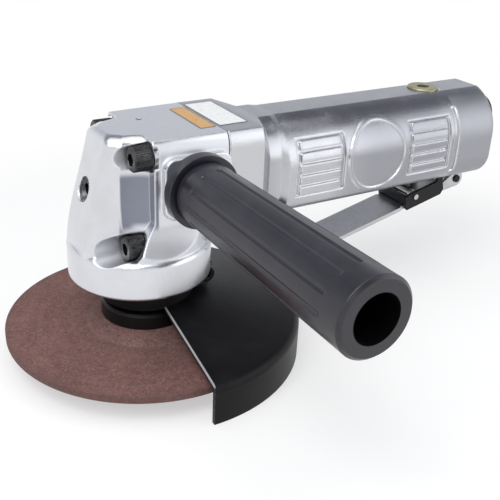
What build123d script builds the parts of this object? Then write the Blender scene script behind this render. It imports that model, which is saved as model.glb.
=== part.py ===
from build123d import *
import os
from math import acos, atan, cos, dist, pi, radians, sin, tan

# Air angle grinder, in millimetres. The origin is the free end of the spindle, on its axis.
# +Z runs up the spindle, +X back along the motor to the air inlet, -Y out along the side handle.

# Clearances
running_clearance = 0.05
seat_clearance = 0.02
thread_clearance = 0.05
free_gap = 0.4
edge_chamfer = 1.0

# Grinding disc and the pieces that clamp it
disc_diameter = 125.0
disc_thickness = 3.0
disc_bore_radius = 11.1
disc_hub_radius = 20.5
disc_hub_slope = 6.5
disc_hub_rise = 4.5
nose_length = 4.0
nut_radius = 18.5
nut_thickness = 6.0
nut_pin_radius = 2.2
nut_pin_circle = 12.5
clamp_radius = 20.0
clamp_thickness = 7.0
clamp_pilot_height = 2.4

# Spindle and its bearings
spindle_pilot_radius = 5.9
spindle_pilot_length = 3.5
spindle_thread_radius = 7.0
spindle_shoulder_radius = 8.5
spindle_gear_seat_radius = 6.8
spindle_journal_radius = 4.0
lower_bearing_bore = 15.0
lower_bearing_outside = 32.0
lower_bearing_width = 9.0
upper_bearing_outside = 22.0
upper_bearing_width = 7.0
race_thickness = 2.6
shield_inset = 0.6
spindle_tip_gap = 1.5

# Bearing cap below the gear head
cap_gap = 1.5
cap_nose_radius = 18.5
cap_nose_length = 12.5
cap_thread_radius = 24.0
cap_thread_length = 5.0
cap_bore_gap = 0.5
seal_radius = 12.0
seal_height = 4.5

# Bevel gears, which meet where the spindle and the motor axis cross
motor_axis_z = 77.0
gear_module = 1.0
gear_teeth = 30
pinion_teeth = 12
gear_face_width = 5.4
gear_backlash = 0.16
gear_addendum = 0.8
gear_dedendum = 1.1
pressure_angle = 20.0
gap_overrun = 3.0
gear_rim_height = 7.0
gear_hub_radius = 9.6
gear_key_width = 3.0
gear_key_length = 6.5
ring_thickness = 1.2
ring_width = 2.0
gear_room = 0.4
bearing_ledge = 1.7

# Gear head
bell_centre_x = -2.6
bell_radius = 31.2
bell_shoulder_z = 51.0
bell_shoulder_round = 3.0
bell_rim_round = 1.2
head_top_z = 99.5
head_front_x = -6.0
head_front_flat = 43.0
head_front_width = 48.0
seam_x = 27.0
flange_flat = 45.0
flange_width = 49.0
flange_height = 49.5
flange_corner = 8.0
flange_shoulder = 7.0
nose_back_x = -4.0
nose_sink = 2.5
nose_crown_height = 4.4
nose_crown_trim = 0.4
nose_crown_front = 5.6
nose_crown_side = 7.2
nose_crown_steps = 3
# Level, front, half width of the front, start of the flank, half width there and at the back
nose_sections = (
    (bell_shoulder_z - nose_sink, -31.9, 10.2, -21.5, 24.4, 27.0),
    (63.0, -30.2, 10.8, -18.6, 16.0, 21.2),
    (82.0, -24.8, 10.5, -17.2, 14.8, 20.4),
    (head_top_z + nose_crown_trim - nose_crown_height, -21.0, 10.3, -16.0, 14.4, 19.6),
)
nose_corner_round = 4.0
nose_hollow = 1.2
web_front_x = -15.0
web_back_x = 24.0
web_top_z = 65.0
web_half_width = 30.4
pad_front_x = -3.0
pad_bottom_z = 67.0
pad_top_z = 93.0
pad_height = 3.0
pad_corner = 5.0
grease_plug_radius = 5.2
grease_plug_length = 8.0
grease_plug_front_x = -25.2
grease_plug_socket = 5.0
grease_plug_rise = -1.5

# Screws that hold the gear head to the motor housing
screw_radius = 3.0
screw_spread_y = 38.0
screw_upper_z = 92.4
screw_lower_z = 54.4
screw_upper_x = -4.0
screw_lower_x = -7.4
screw_head_radius = 5.1
screw_head_length = 8.4
screw_socket = 5.0
screw_grip_length = 16.0
screw_hole_gap = 0.15
screw_pocket_gap = 1.0
washer_thickness = 1.6
washer_radius = 4.9
washer_slit = 0.8
gasket_thickness = 0.4

# Motor housing, which is also the grip
neck_start_x = 44.0
neck_front_x = 49.5
neck_back_x = 55.5
neck_flat = 18.0
neck_width = 42.6
neck_shoulder = 18.0
neck_height = 42.4
neck_corner = 12.0
neck_drop = 0.6
grip_front_x = 59.0
grip_back_x = 184.0
grip_flat = 15.0
grip_width = 46.0
grip_shoulder = 22.0
grip_height = 44.2
grip_corner = 12.0
grip_drop = 0.8
grip_end_round = 2.8
panel_depth = 1.1
panel_half_height = 12.8
front_panel_start = 63.0
front_panel_length = 26.4
rear_panel_start = 127.4
rear_panel_length = 26.4
rib_count = 5
rib_height = 3.7
rib_end_gap = 2.2
rear_groove_x = 156.4
rear_groove_width = 3.0
rear_groove_depth = 0.6
rear_groove_half_height = 15.5
medallion_x = 108.4
medallion_radius = 17.4
medallion_rim = 1.8
medallion_rise = 0.7
motor_bore_radius = 18.5

# Motor
pinion_bearing_bore = 10.0
pinion_bearing_outside = 26.0
pinion_bearing_width = 8.0
rear_bearing_bore = 8.0
rear_bearing_outside = 22.0
rear_bearing_width = 7.0
front_plate_thickness = 18.5
rear_plate_thickness = 12.0
cylinder_length = 58.0
cylinder_bore_radius = 15.5
cylinder_offset = 1.6
rotor_radius = 13.6
rotor_end_gap = 0.2
rotor_tail_radius = 3.5
rotor_tail_depth = 10.0
shaft_hole_gap = 0.5
vane_count = 5
vane_thickness = 2.4
vane_height = 6.6
vane_stand_out = 0.12
port_width = 3.0
port_count = 5
pin_radius = 1.0
pin_circle = 16.1
pin_turn = -58.0
pin_engagement = 4.0
pinion_rim_length = 1.4

# Throttle valve
valve_x = 152.0
chamber_radius = 6.5
chamber_floor_z = 58.0
seat_bottom_z = 65.5
seat_height = 4.0
seat_hole_radius = 3.6
stem_radius = 2.4
valve_head_radius = 5.2
valve_head_height = 2.6
valve_seal_height = 0.6
plug_thread_length = 8.0
plug_head_radius = 7.6
plug_head_height = 1.7
plug_seat_depth = 0.7
plug_socket = 6.0
spring_coil_radius = 4.3
spring_wire_radius = 0.45
spring_turns = 5
spring_samples = 24
motor_passage_radius = 3.2
motor_passage_z = 62.0

# Air inlet and exhaust at the rear face
inlet_thread_radius = 5.6
inlet_thread_length = 16.0
inlet_body_radius = 9.4
inlet_body_length = 18.0
inlet_hex_width = 22.0
inlet_hex_length = 8.0
inlet_passage_radius = 4.2
strainer_length = 7.0
strainer_wall = 0.6
exhaust_passage_radius = 3.4
exhaust_passage_y = 14.6
exhaust_recess_width = 38.0
exhaust_recess_height = 36.0
exhaust_recess_corner = 9.5
exhaust_plate_thickness = 1.6
silencer_thickness = 4.0
exhaust_hole_radius = 1.3
exhaust_hole_circle = 15.6
exhaust_hole_count = 16

# Throttle lever and its lock-off latch
lever_pivot_x = 176.0
lever_pivot_z = 49.6
lever_pin_radius = 2.0
lever_pin_stand_out = 0.8
lever_drop = 1.0
lever_slope = 13.0
lever_reach = 99.5
lever_thickness = 2.0
lever_half_width = 10.0
lever_neck_half_width = 9.4
lever_neck_reach = 38.4
lever_plate_back = 6.6
lever_ear_thickness = 1.6
lever_ear_radius = 4.2
lever_ear_length = 16.0
lever_end_round = 7.0
lever_side_gap = 0.3
stem_contact_gap = 0.25
latch_reach = 29.8
latch_rise = 3.4
latch_pin_radius = 1.4
latch_ear_radius = 2.8
latch_cheek_thickness = 1.8
latch_front_reach = 35.8
latch_back_reach = 11.0
latch_nose_length = 3.0
latch_web_thickness = 1.8
latch_web_height = 4.6
latch_skirt = 2.2
latch_crown = 2.2

# Side handle
handle_x = 11.9
handle_z = 79.0
handle_thread_radius = 5.0
handle_thread_depth = 11.5
handle_rod_radius = 6.0
handle_web = 11.0
handle_collar_radius = 15.6
handle_collar_width = 5.0
handle_groove_depth = 1.0
handle_groove_width = 1.6
handle_start_radius = 13.3
handle_end_radius = 14.6
handle_length = 113.0
handle_bore_radius = 8.8
handle_bore_depth = 56.0
handle_end_chamfer = 1.2
flute_count = 12
flute_radius = 1.5
flute_depth = 0.55
flute_start = 9.0
flute_end_gap = 11.0

# Guard
guard_gap = 5.5
guard_thickness = 2.0
guard_cone_top_z = 24.0
guard_shoulder_z = 13.4
guard_bend_radius = 4.0
guard_skirt_bottom_z = -4.6
guard_sector = 184.0
collar_thickness = 2.5
collar_height = 9.7
collar_split = 3.0
collar_ear_length = 10.0
collar_ear_thickness = 3.0
collar_ear_height = 7.0
clamp_screw_radius = 2.5
clamp_screw_head_radius = 3.9
clamp_screw_head_length = 5.0
clamp_screw_socket = 4.0
clamp_nut_width = 8.0
clamp_nut_thickness = 4.0

# Levels along the spindle, upwards from its free end
nut_bottom_z = nose_length
hub_bottom_z = nut_bottom_z + nut_thickness
hub_top_z = hub_bottom_z + disc_thickness
rim_top_z = hub_top_z - disc_hub_rise
rim_bottom_z = rim_top_z - disc_thickness
clamp_top_z = hub_top_z + clamp_thickness
cap_bottom_z = clamp_top_z + cap_gap
bell_bottom_z = cap_bottom_z + cap_nose_length
bearing_bottom_z = bell_bottom_z + cap_thread_length
bearing_top_z = bearing_bottom_z + lower_bearing_width

# Gear sizes
gear_pitch_radius = gear_module * gear_teeth / 2
pinion_pitch_radius = gear_module * pinion_teeth / 2
cone_distance = (gear_pitch_radius**2 + pinion_pitch_radius**2) ** 0.5
gear_inner_share = 1 - gear_face_width / cone_distance
gap_shares = (gear_inner_share - gap_overrun / cone_distance, 1 + gap_overrun / cone_distance)
gear_back_z = motor_axis_z - pinion_pitch_radius - gear_rim_height
gear_cavity_radius = gear_pitch_radius + gear_addendum * gear_module + gear_room
ring_bottom_z = motor_axis_z - pinion_pitch_radius * gear_inner_share - gear_dedendum * gear_module
ring_top_z = ring_bottom_z + ring_thickness
upper_bearing_bottom_z = motor_axis_z + pinion_pitch_radius + gear_addendum * gear_module + gear_room
upper_bearing_top_z = upper_bearing_bottom_z + upper_bearing_width

# Stations along the motor
grip_top_z = head_top_z - grip_drop
grip_bottom_z = grip_top_z - grip_height
housing_front_x = seam_x + gasket_thickness
front_plate_x = housing_front_x + rotor_end_gap
cylinder_x = front_plate_x + front_plate_thickness
rear_plate_x = cylinder_x + cylinder_length
bore_end_x = rear_plate_x + rear_plate_thickness
screw_centre_z = (screw_upper_z + screw_lower_z) / 2
screw_spread_z = screw_upper_z - screw_lower_z
screw_end_x = housing_front_x + screw_grip_length
inlet_hex_x = grip_back_x
inlet_end_x = inlet_hex_x + inlet_hex_length
inlet_inner_x = inlet_hex_x - inlet_body_length
seat_top_z = seat_bottom_z + seat_height
valve_head_z = seat_top_z + valve_seal_height
spring_bottom_z = valve_head_z + valve_head_height
plug_seat_z = grip_top_z - plug_seat_depth
plug_bottom_z = plug_seat_z - plug_thread_length
rotor_x = cylinder_x + rotor_end_gap
rotor_length = cylinder_length - 2 * rotor_end_gap
pin_place = (pin_circle * cos(radians(pin_turn)), pin_circle * sin(radians(pin_turn)))

# Lever, latch and valve stem
slope_sin = sin(radians(lever_slope))
slope_cos = cos(radians(lever_slope))
lug_half_width = lever_neck_half_width - lever_ear_thickness - lever_side_gap
latch_level = latch_rise - lever_drop
latch_inner_y = lever_neck_half_width + lever_side_gap
latch_outer_y = latch_inner_y + latch_cheek_thickness
latch_nose_level = (grip_bottom_z - free_gap - lever_pivot_z + latch_back_reach * slope_sin) / slope_cos
stem_ball_z = (
    lever_pivot_z
    - (lever_pivot_x - valve_x) * slope_sin / slope_cos
    + (stem_radius + stem_contact_gap - lever_drop) / slope_cos
)

# Handle and guard
pad_face_y = flange_width / 2 + pad_height
handle_end_y = pad_face_y + handle_length
handle_rod_length = handle_length - handle_bore_depth - handle_web
guard_radius = disc_diameter / 2 + guard_gap + guard_thickness
collar_inner_radius = cap_nose_radius + running_clearance
collar_outer_radius = collar_inner_radius + collar_thickness
guard_slope = atan((guard_cone_top_z - guard_shoulder_z) / (guard_radius - collar_outer_radius))
collar_ear_bottom_z = guard_cone_top_z + free_gap
clamp_screw_x = collar_outer_radius + collar_ear_length / 2
clamp_screw_z = collar_ear_bottom_z + collar_ear_height / 2
clamp_face_y = collar_split / 2 + collar_ear_thickness

# Planes that the pieces are drawn on
motor_plane = Plane(origin=(0, 0, motor_axis_z), x_dir=(0, 1, 0), z_dir=(1, 0, 0))
handle_plane = Plane(origin=(handle_x, 0, handle_z), x_dir=(1, 0, 0), z_dir=(0, -1, 0))
far_handle_plane = Plane(origin=(handle_x, 0, handle_z), x_dir=(-1, 0, 0), z_dir=(0, 1, 0))
screw_planes = (
    Plane(origin=(screw_upper_x, 0, screw_upper_z), x_dir=(0, 1, 0), z_dir=(-1, 0, 0)),
    Plane(origin=(screw_lower_x, 0, screw_lower_z), x_dir=(0, 1, 0), z_dir=(-1, 0, 0)),
)
pinion_plane = Plane(origin=(0, 0, motor_axis_z), x_dir=(0, 0, -1), z_dir=(-1, 0, 0))
gear_plane = Plane(origin=(0, 0, motor_axis_z))
lever_side_plane = Plane(
    origin=(lever_pivot_x, 0, lever_pivot_z), x_dir=(-slope_cos, 0, -slope_sin), z_dir=(0, 1, 0)
)
lever_top_plane = Plane(
    origin=(lever_pivot_x, 0, lever_pivot_z),
    x_dir=(-slope_cos, 0, -slope_sin),
    z_dir=(-slope_sin, 0, slope_cos),
).offset(-lever_drop)
handle_profile_plane = Plane(origin=(handle_x, 0, handle_z), x_dir=(1, 0, 0), z_dir=(0, 0, -1))
clamp_plane = Plane(origin=(clamp_screw_x, 0, clamp_screw_z), x_dir=(1, 0, 0), z_dir=(0, -1, 0))

pieces = {}


def ring(inner_radius, outer_radius, length, plane):
    """Plain ring that starts on a plane and runs along its normal."""
    with BuildPart() as made:
        with BuildSketch(plane):
            Circle(outer_radius)
            Circle(inner_radius, mode=Mode.SUBTRACT)
        extrude(amount=length)
    return made.part


def bearing_outer(bore, outside, width, plane):
    """Outer race of a shielded ball bearing, with its two shields."""
    outer = outside / 2 - seat_clearance
    shield_radius = bore / 2 + race_thickness + free_gap
    with BuildPart() as made:
        with BuildSketch(plane):
            Circle(outer)
            Circle(outer - race_thickness, mode=Mode.SUBTRACT)
        extrude(amount=width)
        with BuildSketch(plane.offset(shield_inset)):
            Circle(outer - race_thickness)
            Circle(shield_radius, mode=Mode.SUBTRACT)
        extrude(amount=width - 2 * shield_inset)
    return made.part


def gap_outline(teeth, mate_teeth, share):
    """Corner points of one tooth gap, drawn on the back cone and scaled towards the apex."""
    pitch_cone = atan(teeth / mate_teeth)
    virtual_teeth = teeth / cos(pitch_cone)
    pitch_radius = gear_module * virtual_teeth / 2
    base_radius = pitch_radius * cos(radians(pressure_angle))

    def involute(angle):
        return tan(angle) - angle

    def half_gap(height):
        radius = pitch_radius + height * gear_module
        flank = acos(min(1.0, base_radius / max(radius, base_radius)))
        tooth = (pi / 2 - gear_backlash / gear_module) / virtual_teeth
        tooth += involute(radians(pressure_angle)) - involute(flank)
        turn = pi / virtual_teeth - tooth
        return radius * sin(turn) * share, (radius * cos(turn) - pitch_radius) * share

    heights = (-gear_dedendum, -gear_dedendum / 2, 0.0, gear_addendum / 2, 2 * gear_addendum)
    right = [half_gap(height) for height in heights]
    left = [(-across, up) for across, up in reversed(right)]
    return right + left


def tooth_gap(teeth, mate_teeth):
    """Solid that cuts one gap between two bevel teeth, with the apex of the cone at the origin."""
    pitch_cone = atan(teeth / mate_teeth)
    along = (sin(pitch_cone), -cos(pitch_cone))
    with BuildPart() as made:
        for share in gap_shares:
            reach = cone_distance * share
            plane = Plane(
                origin=(along[0] * reach, 0, along[1] * reach),
                x_dir=(0, 1, 0),
                z_dir=(along[0], 0, along[1]),
            )
            with BuildSketch(plane):
                with BuildLine():
                    Polyline(*gap_outline(teeth, mate_teeth, share), close=True)
                make_face()
        loft(ruled=True)
    return made.part


def tip_point(teeth, mate_teeth, share):
    """Radius and height of the tooth tip at a share of the cone distance."""
    pitch_cone = atan(teeth / mate_teeth)
    height = gear_addendum * gear_module
    radius = cone_distance * sin(pitch_cone) + height * cos(pitch_cone)
    level = -cone_distance * cos(pitch_cone) + height * sin(pitch_cone)
    return radius * share, level * share


gear_gap = tooth_gap(gear_teeth, pinion_teeth)
pinion_gap = tooth_gap(pinion_teeth, gear_teeth)

# Depressed-centre disc
with BuildPart() as grinding_disc:
    with BuildSketch(Plane.XZ):
        with BuildLine():
            Polyline(
                (disc_bore_radius, hub_top_z),
                (disc_hub_radius, hub_top_z),
                (disc_hub_radius + disc_hub_slope, rim_top_z),
                (disc_diameter / 2, rim_top_z),
                (disc_diameter / 2, rim_bottom_z),
                (disc_hub_radius + disc_hub_slope, rim_bottom_z),
                (disc_hub_radius, hub_bottom_z),
                (disc_bore_radius, hub_bottom_z),
                close=True,
            )
        make_face()
    revolve(axis=Axis.Z)
pieces["grinding_disc"] = grinding_disc.part

# Flange that the disc is clamped against, with the pilot that centres its bore
with BuildPart() as clamp_flange:
    with BuildSketch(Plane.XY.offset(hub_top_z)):
        Circle(clamp_radius)
    extrude(amount=clamp_thickness)
    chamfer(clamp_flange.edges().group_by(Axis.Z)[-1], length=edge_chamfer)
    with BuildSketch(Plane.XY.offset(hub_top_z)):
        Circle(disc_bore_radius - running_clearance)
    extrude(amount=-clamp_pilot_height)
    with BuildSketch(Plane.XY.offset(hub_bottom_z)):
        Circle(spindle_thread_radius)
    extrude(amount=disc_thickness + clamp_thickness, mode=Mode.SUBTRACT)
pieces["clamp_flange"] = clamp_flange.part

# Lock nut with its four spanner holes
with BuildPart() as lock_nut:
    with BuildSketch(Plane.XY.offset(nut_bottom_z)):
        Circle(nut_radius)
        Circle(spindle_thread_radius, mode=Mode.SUBTRACT)
        with PolarLocations(nut_pin_circle, 4):
            Circle(nut_pin_radius, mode=Mode.SUBTRACT)
    extrude(amount=nut_thickness)
    chamfer(lock_nut.edges().group_by(Axis.Z)[0].sort_by(SortBy.LENGTH)[-1], length=edge_chamfer)
pieces["lock_nut"] = lock_nut.part

# Spindle: free thread, engaged thread, shoulder, bearing seat, gear seat and upper journal
spindle_steps = (
    (spindle_pilot_radius, spindle_pilot_length),
    (spindle_thread_radius - thread_clearance, clamp_top_z),
    (spindle_shoulder_radius, bearing_bottom_z),
    (lower_bearing_bore / 2, bearing_top_z),
    (spindle_gear_seat_radius, ring_top_z),
    (spindle_journal_radius, upper_bearing_top_z),
)
with BuildPart() as spindle:
    step_bottom = 0.0
    for step_radius, step_top in spindle_steps:
        with BuildSketch(Plane.XY.offset(step_bottom)):
            Circle(step_radius)
        extrude(amount=step_top - step_bottom)
        step_bottom = step_top
    with BuildSketch(Plane.XY.offset(ring_bottom_z)):
        Circle(spindle_gear_seat_radius + ring_width)
        Circle(spindle_gear_seat_radius - ring_width / 2, mode=Mode.SUBTRACT)
    extrude(amount=ring_thickness, mode=Mode.SUBTRACT)
    with BuildSketch(Plane.XY.offset(gear_back_z)):
        with Locations((-spindle_gear_seat_radius, 0)):
            Rectangle(gear_key_width, gear_key_width)
    extrude(amount=gear_key_length, mode=Mode.SUBTRACT)
    chamfer(spindle.edges().group_by(Axis.Z)[-1], length=edge_chamfer)
pieces["spindle"] = spindle.part

# Ring that holds the gear down on the spindle
pieces["gear_retaining_ring"] = ring(
    spindle_gear_seat_radius - ring_width / 2 + seat_clearance,
    spindle_gear_seat_radius + ring_width / 2,
    ring_thickness,
    Plane.XY.offset(ring_bottom_z),
)

# Large bevel gear on the spindle
gear_tip_outer = tip_point(gear_teeth, pinion_teeth, 1.0)
gear_tip_inner = tip_point(gear_teeth, pinion_teeth, gear_inner_share)
with BuildPart() as bevel_gear:
    with BuildSketch(Plane.XZ):
        with BuildLine():
            Polyline(
                (spindle_gear_seat_radius + seat_clearance, bearing_top_z),
                (gear_hub_radius, bearing_top_z),
                (gear_hub_radius, gear_back_z),
                (gear_tip_outer[0], gear_back_z),
                (gear_tip_outer[0], motor_axis_z + gear_tip_outer[1]),
                (gear_tip_inner[0], motor_axis_z + gear_tip_inner[1]),
                (gear_tip_inner[0], ring_bottom_z),
                (spindle_gear_seat_radius + seat_clearance, ring_bottom_z),
                close=True,
            )
        make_face()
    revolve(axis=Axis.Z)
    with Locations(gear_plane):
        with PolarLocations(0, gear_teeth):
            add(gear_gap, mode=Mode.SUBTRACT)
    with BuildSketch(Plane.XY.offset(gear_back_z)):
        with Locations((-spindle_gear_seat_radius, 0)):
            Rectangle(gear_key_width, gear_key_width)
    extrude(amount=gear_key_length, mode=Mode.SUBTRACT)
pieces["bevel_gear"] = bevel_gear.part

# Key between the gear and the spindle
with BuildPart() as gear_key:
    with BuildSketch(Plane.XY.offset(gear_back_z)):
        with Locations((-spindle_gear_seat_radius, 0)):
            Rectangle(gear_key_width - 2 * seat_clearance, gear_key_width - 2 * seat_clearance)
    extrude(amount=gear_key_length)
pieces["gear_key"] = gear_key.part

# Bearings of the spindle
lower_bearing_plane = Plane.XY.offset(bearing_bottom_z)
upper_bearing_plane = Plane.XY.offset(upper_bearing_bottom_z)
pieces["lower_bearing_outer"] = bearing_outer(
    lower_bearing_bore, lower_bearing_outside, lower_bearing_width, lower_bearing_plane
)
pieces["lower_bearing_inner"] = ring(
    lower_bearing_bore / 2 + seat_clearance,
    lower_bearing_bore / 2 + race_thickness,
    lower_bearing_width,
    lower_bearing_plane,
)
pieces["upper_bearing_outer"] = bearing_outer(
    2 * spindle_journal_radius, upper_bearing_outside, upper_bearing_width, upper_bearing_plane
)
pieces["upper_bearing_inner"] = ring(
    spindle_journal_radius + seat_clearance,
    spindle_journal_radius + race_thickness,
    upper_bearing_width,
    upper_bearing_plane,
)

# Threaded cap that holds the lower bearing, with the nose that the guard is clamped to
with BuildPart() as bearing_cap:
    with BuildSketch(Plane.XZ):
        with BuildLine():
            Polyline(
                (spindle_shoulder_radius + cap_bore_gap, cap_bottom_z),
                (cap_nose_radius, cap_bottom_z),
                (cap_nose_radius, bell_bottom_z),
                (cap_thread_radius - thread_clearance, bell_bottom_z),
                (cap_thread_radius - thread_clearance, bearing_bottom_z),
                (seal_radius, bearing_bottom_z),
                (seal_radius, bearing_bottom_z - seal_height),
                (spindle_shoulder_radius + cap_bore_gap, bearing_bottom_z - seal_height),
                close=True,
            )
        make_face()
    revolve(axis=Axis.Z)
pieces["bearing_cap"] = bearing_cap.part

# Lip seal inside the cap
pieces["spindle_seal"] = ring(
    spindle_shoulder_radius + running_clearance,
    seal_radius - seat_clearance,
    seal_height - shield_inset,
    Plane.XY.offset(bearing_bottom_z - seal_height),
)


def nose_outline(front, face_half_width, side_x, half_width, root_half_width):
    """Plan of the head's nose: flat front, rounded corners, hollowed flanks, straight back."""
    near_root = (nose_back_x, -root_half_width)
    far_root = (nose_back_x, root_half_width)
    near_side = (side_x, -half_width)
    far_side = (side_x, half_width)
    SagittaArc(near_root, near_side, -nose_hollow)
    FilletPolyline(
        near_side,
        (front, -face_half_width),
        (front, face_half_width),
        far_side,
        radius=nose_corner_round,
    )
    SagittaArc(far_side, far_root, -nose_hollow)
    Line(far_root, near_root)


def case_outline(flat, width, shoulder, height, corner, drop=0):
    """Cross section of the case: flat top, sides that lean in over the shoulder, rounded lower corners."""
    top = head_top_z - drop - motor_axis_z
    bottom = top - height
    for side in (1, -1):
        Line((0, top), (side * flat / 2, top))
        TangentArc((side * width / 2, top - shoulder), (side * flat / 2, top), tangent=(0, 1))
        Line((side * width / 2, top - shoulder), (side * width / 2, bottom + corner))
        TangentArc(
            (side * width / 2, bottom + corner), (side * (width / 2 - corner), bottom), tangent=(0, -1)
        )
        Line((side * (width / 2 - corner), bottom), (0, bottom))


# Hollow web that carries the sides of the head down on to the bell
with BuildPart() as shoulder_web:
    with BuildSketch(motor_plane.offset(web_front_x)):
        with BuildLine():
            web_foot = bell_shoulder_z - bell_shoulder_round - motor_axis_z
            web_spring = bell_shoulder_z - motor_axis_z
            web_top = web_top_z - motor_axis_z
            for side in (1, -1):
                Line((0, web_foot), (side * web_half_width, web_foot))
                Line((side * web_half_width, web_foot), (side * web_half_width, web_spring))
                TangentArc(
                    (side * head_front_width / 2, web_top),
                    (side * web_half_width, web_spring),
                    tangent=(0, -1),
                )
                Line((side * head_front_width / 2, web_top), (0, web_top))
        make_face()
    extrude(amount=web_back_x - web_front_x)
    with BuildSketch(Plane.XZ):
        with BuildLine():
            Polyline(
                (head_front_x, web_top_z),
                (web_front_x, bell_shoulder_z),
                (web_front_x, web_top_z),
                close=True,
            )
        make_face()
    extrude(amount=bell_radius, both=True, mode=Mode.SUBTRACT)
    with BuildSketch(Plane.XY):
        with Locations((bell_centre_x, 0)):
            Circle(bell_radius - bell_shoulder_round / 2)
    extrude(amount=head_top_z, mode=Mode.INTERSECT)

# Gear head: round bell, square flange, hollow-sided nose and two handle pads
with BuildPart() as gear_head:
    for station, flat, width in (
        (head_front_x, head_front_flat, head_front_width),
        (seam_x, flange_flat, flange_width),
    ):
        with BuildSketch(motor_plane.offset(station)):
            with BuildLine():
                case_outline(flat, width, flange_shoulder, flange_height, flange_corner)
            make_face()
    loft()
    with BuildSketch(Plane.XZ):
        with BuildLine():
            bell_side_x = bell_centre_x + bell_radius
            Line((bell_centre_x, bell_bottom_z), (bell_side_x, bell_bottom_z))
            Line((bell_side_x, bell_bottom_z), (bell_side_x, bell_shoulder_z - bell_shoulder_round))
            JernArc(
                (bell_side_x, bell_shoulder_z - bell_shoulder_round),
                (0, 1),
                bell_shoulder_round,
                90,
            )
            Line((bell_side_x - bell_shoulder_round, bell_shoulder_z), (bell_centre_x, bell_shoulder_z))
            Line((bell_centre_x, bell_shoulder_z), (bell_centre_x, bell_bottom_z))
        make_face()
    revolve(axis=Axis((bell_centre_x, 0, 0), (0, 0, 1)))
    fillet(gear_head.edges().group_by(Axis.Z)[0], radius=bell_rim_round)
    for level, front, face_half_width, side_x, half_width, root_half_width in nose_sections:
        with BuildSketch(Plane.XY.offset(level)):
            with BuildLine():
                nose_outline(front, face_half_width, side_x, half_width, root_half_width)
            make_face()
    loft()
    level, front, face_half_width, side_x, half_width, root_half_width = nose_sections[-1]
    for step in range(nose_crown_steps + 1):
        turn = pi / 2 * step / nose_crown_steps
        with BuildSketch(Plane.XY.offset(level + nose_crown_height * sin(turn))):
            with BuildLine():
                nose_outline(
                    front + nose_crown_front * (1 - cos(turn)),
                    face_half_width - nose_crown_side * (1 - cos(turn)),
                    side_x + nose_crown_front * (1 - cos(turn)),
                    half_width - nose_crown_side * (1 - cos(turn)),
                    root_half_width - nose_crown_side * (1 - cos(turn)),
                )
            make_face()
    loft()
    add(shoulder_web.part)
    with BuildSketch(Plane.XY.offset(head_top_z)):
        Circle(2 * bell_radius)
    extrude(amount=nose_crown_height, mode=Mode.SUBTRACT)
    with BuildSketch(motor_plane.offset(seam_x)):
        Rectangle(2 * head_top_z, 2 * head_top_z)
    extrude(amount=bell_radius, mode=Mode.SUBTRACT)
    for side_plane in (handle_plane, far_handle_plane):
        with BuildSketch(side_plane.offset(head_front_width / 2 - pad_height)):
            pad_centre_x = ((pad_front_x + seam_x) / 2 - handle_x) * side_plane.x_dir.X
            with Locations((pad_centre_x, (pad_bottom_z + pad_top_z) / 2 - handle_z)):
                RectangleRounded(seam_x - pad_front_x, pad_top_z - pad_bottom_z, pad_corner)
        extrude(amount=pad_face_y - head_front_width / 2 + pad_height)
    # Pockets and holes of the four screws
    for screw_plane in screw_planes:
        with BuildSketch(screw_plane):
            with GridLocations(screw_spread_y, 0, 2, 1):
                Circle(screw_head_radius + screw_pocket_gap)
        extrude(amount=2 * bell_radius, mode=Mode.SUBTRACT)
        with BuildSketch(screw_plane):
            with GridLocations(screw_spread_y, 0, 2, 1):
                Circle(screw_radius + screw_hole_gap)
        extrude(amount=screw_plane.origin.X - seam_x, mode=Mode.SUBTRACT)
    # Hole of the grease plug, then the bores for the cap, the bearings and the gears
    with BuildSketch(motor_plane.offset(-2 * bell_radius)):
        with Locations((0, grease_plug_rise)):
            Circle(grease_plug_radius)
    extrude(amount=2 * bell_radius - spindle_gear_seat_radius, mode=Mode.SUBTRACT)
    with BuildSketch(Plane.XZ):
        with BuildLine():
            Polyline(
                (0, bell_bottom_z),
                (cap_thread_radius, bell_bottom_z),
                (cap_thread_radius, bearing_bottom_z),
                (lower_bearing_outside / 2, bearing_bottom_z),
                (lower_bearing_outside / 2, bearing_top_z),
                (lower_bearing_outside / 2 - bearing_ledge, bearing_top_z),
                (lower_bearing_outside / 2 - bearing_ledge, gear_back_z - gear_room),
                (gear_cavity_radius, gear_back_z - gear_room),
                (gear_cavity_radius, upper_bearing_bottom_z),
                (upper_bearing_outside / 2, upper_bearing_bottom_z),
                (upper_bearing_outside / 2, upper_bearing_top_z),
                (spindle_journal_radius + free_gap, upper_bearing_top_z),
                (spindle_journal_radius + free_gap, upper_bearing_top_z + spindle_tip_gap),
                (0, upper_bearing_top_z + spindle_tip_gap),
                close=True,
            )
        make_face()
    revolve(axis=Axis.Z, mode=Mode.SUBTRACT)
    with BuildSketch(motor_plane):
        Circle(pinion_pitch_radius + gear_addendum * gear_module + gear_room)
    extrude(amount=seam_x, mode=Mode.SUBTRACT)
    for side_plane in (handle_plane, far_handle_plane):
        with BuildSketch(side_plane.offset(pad_face_y)):
            Circle(handle_thread_radius)
        extrude(amount=-handle_thread_depth, mode=Mode.SUBTRACT)
pieces["gear_head"] = gear_head.part

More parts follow.
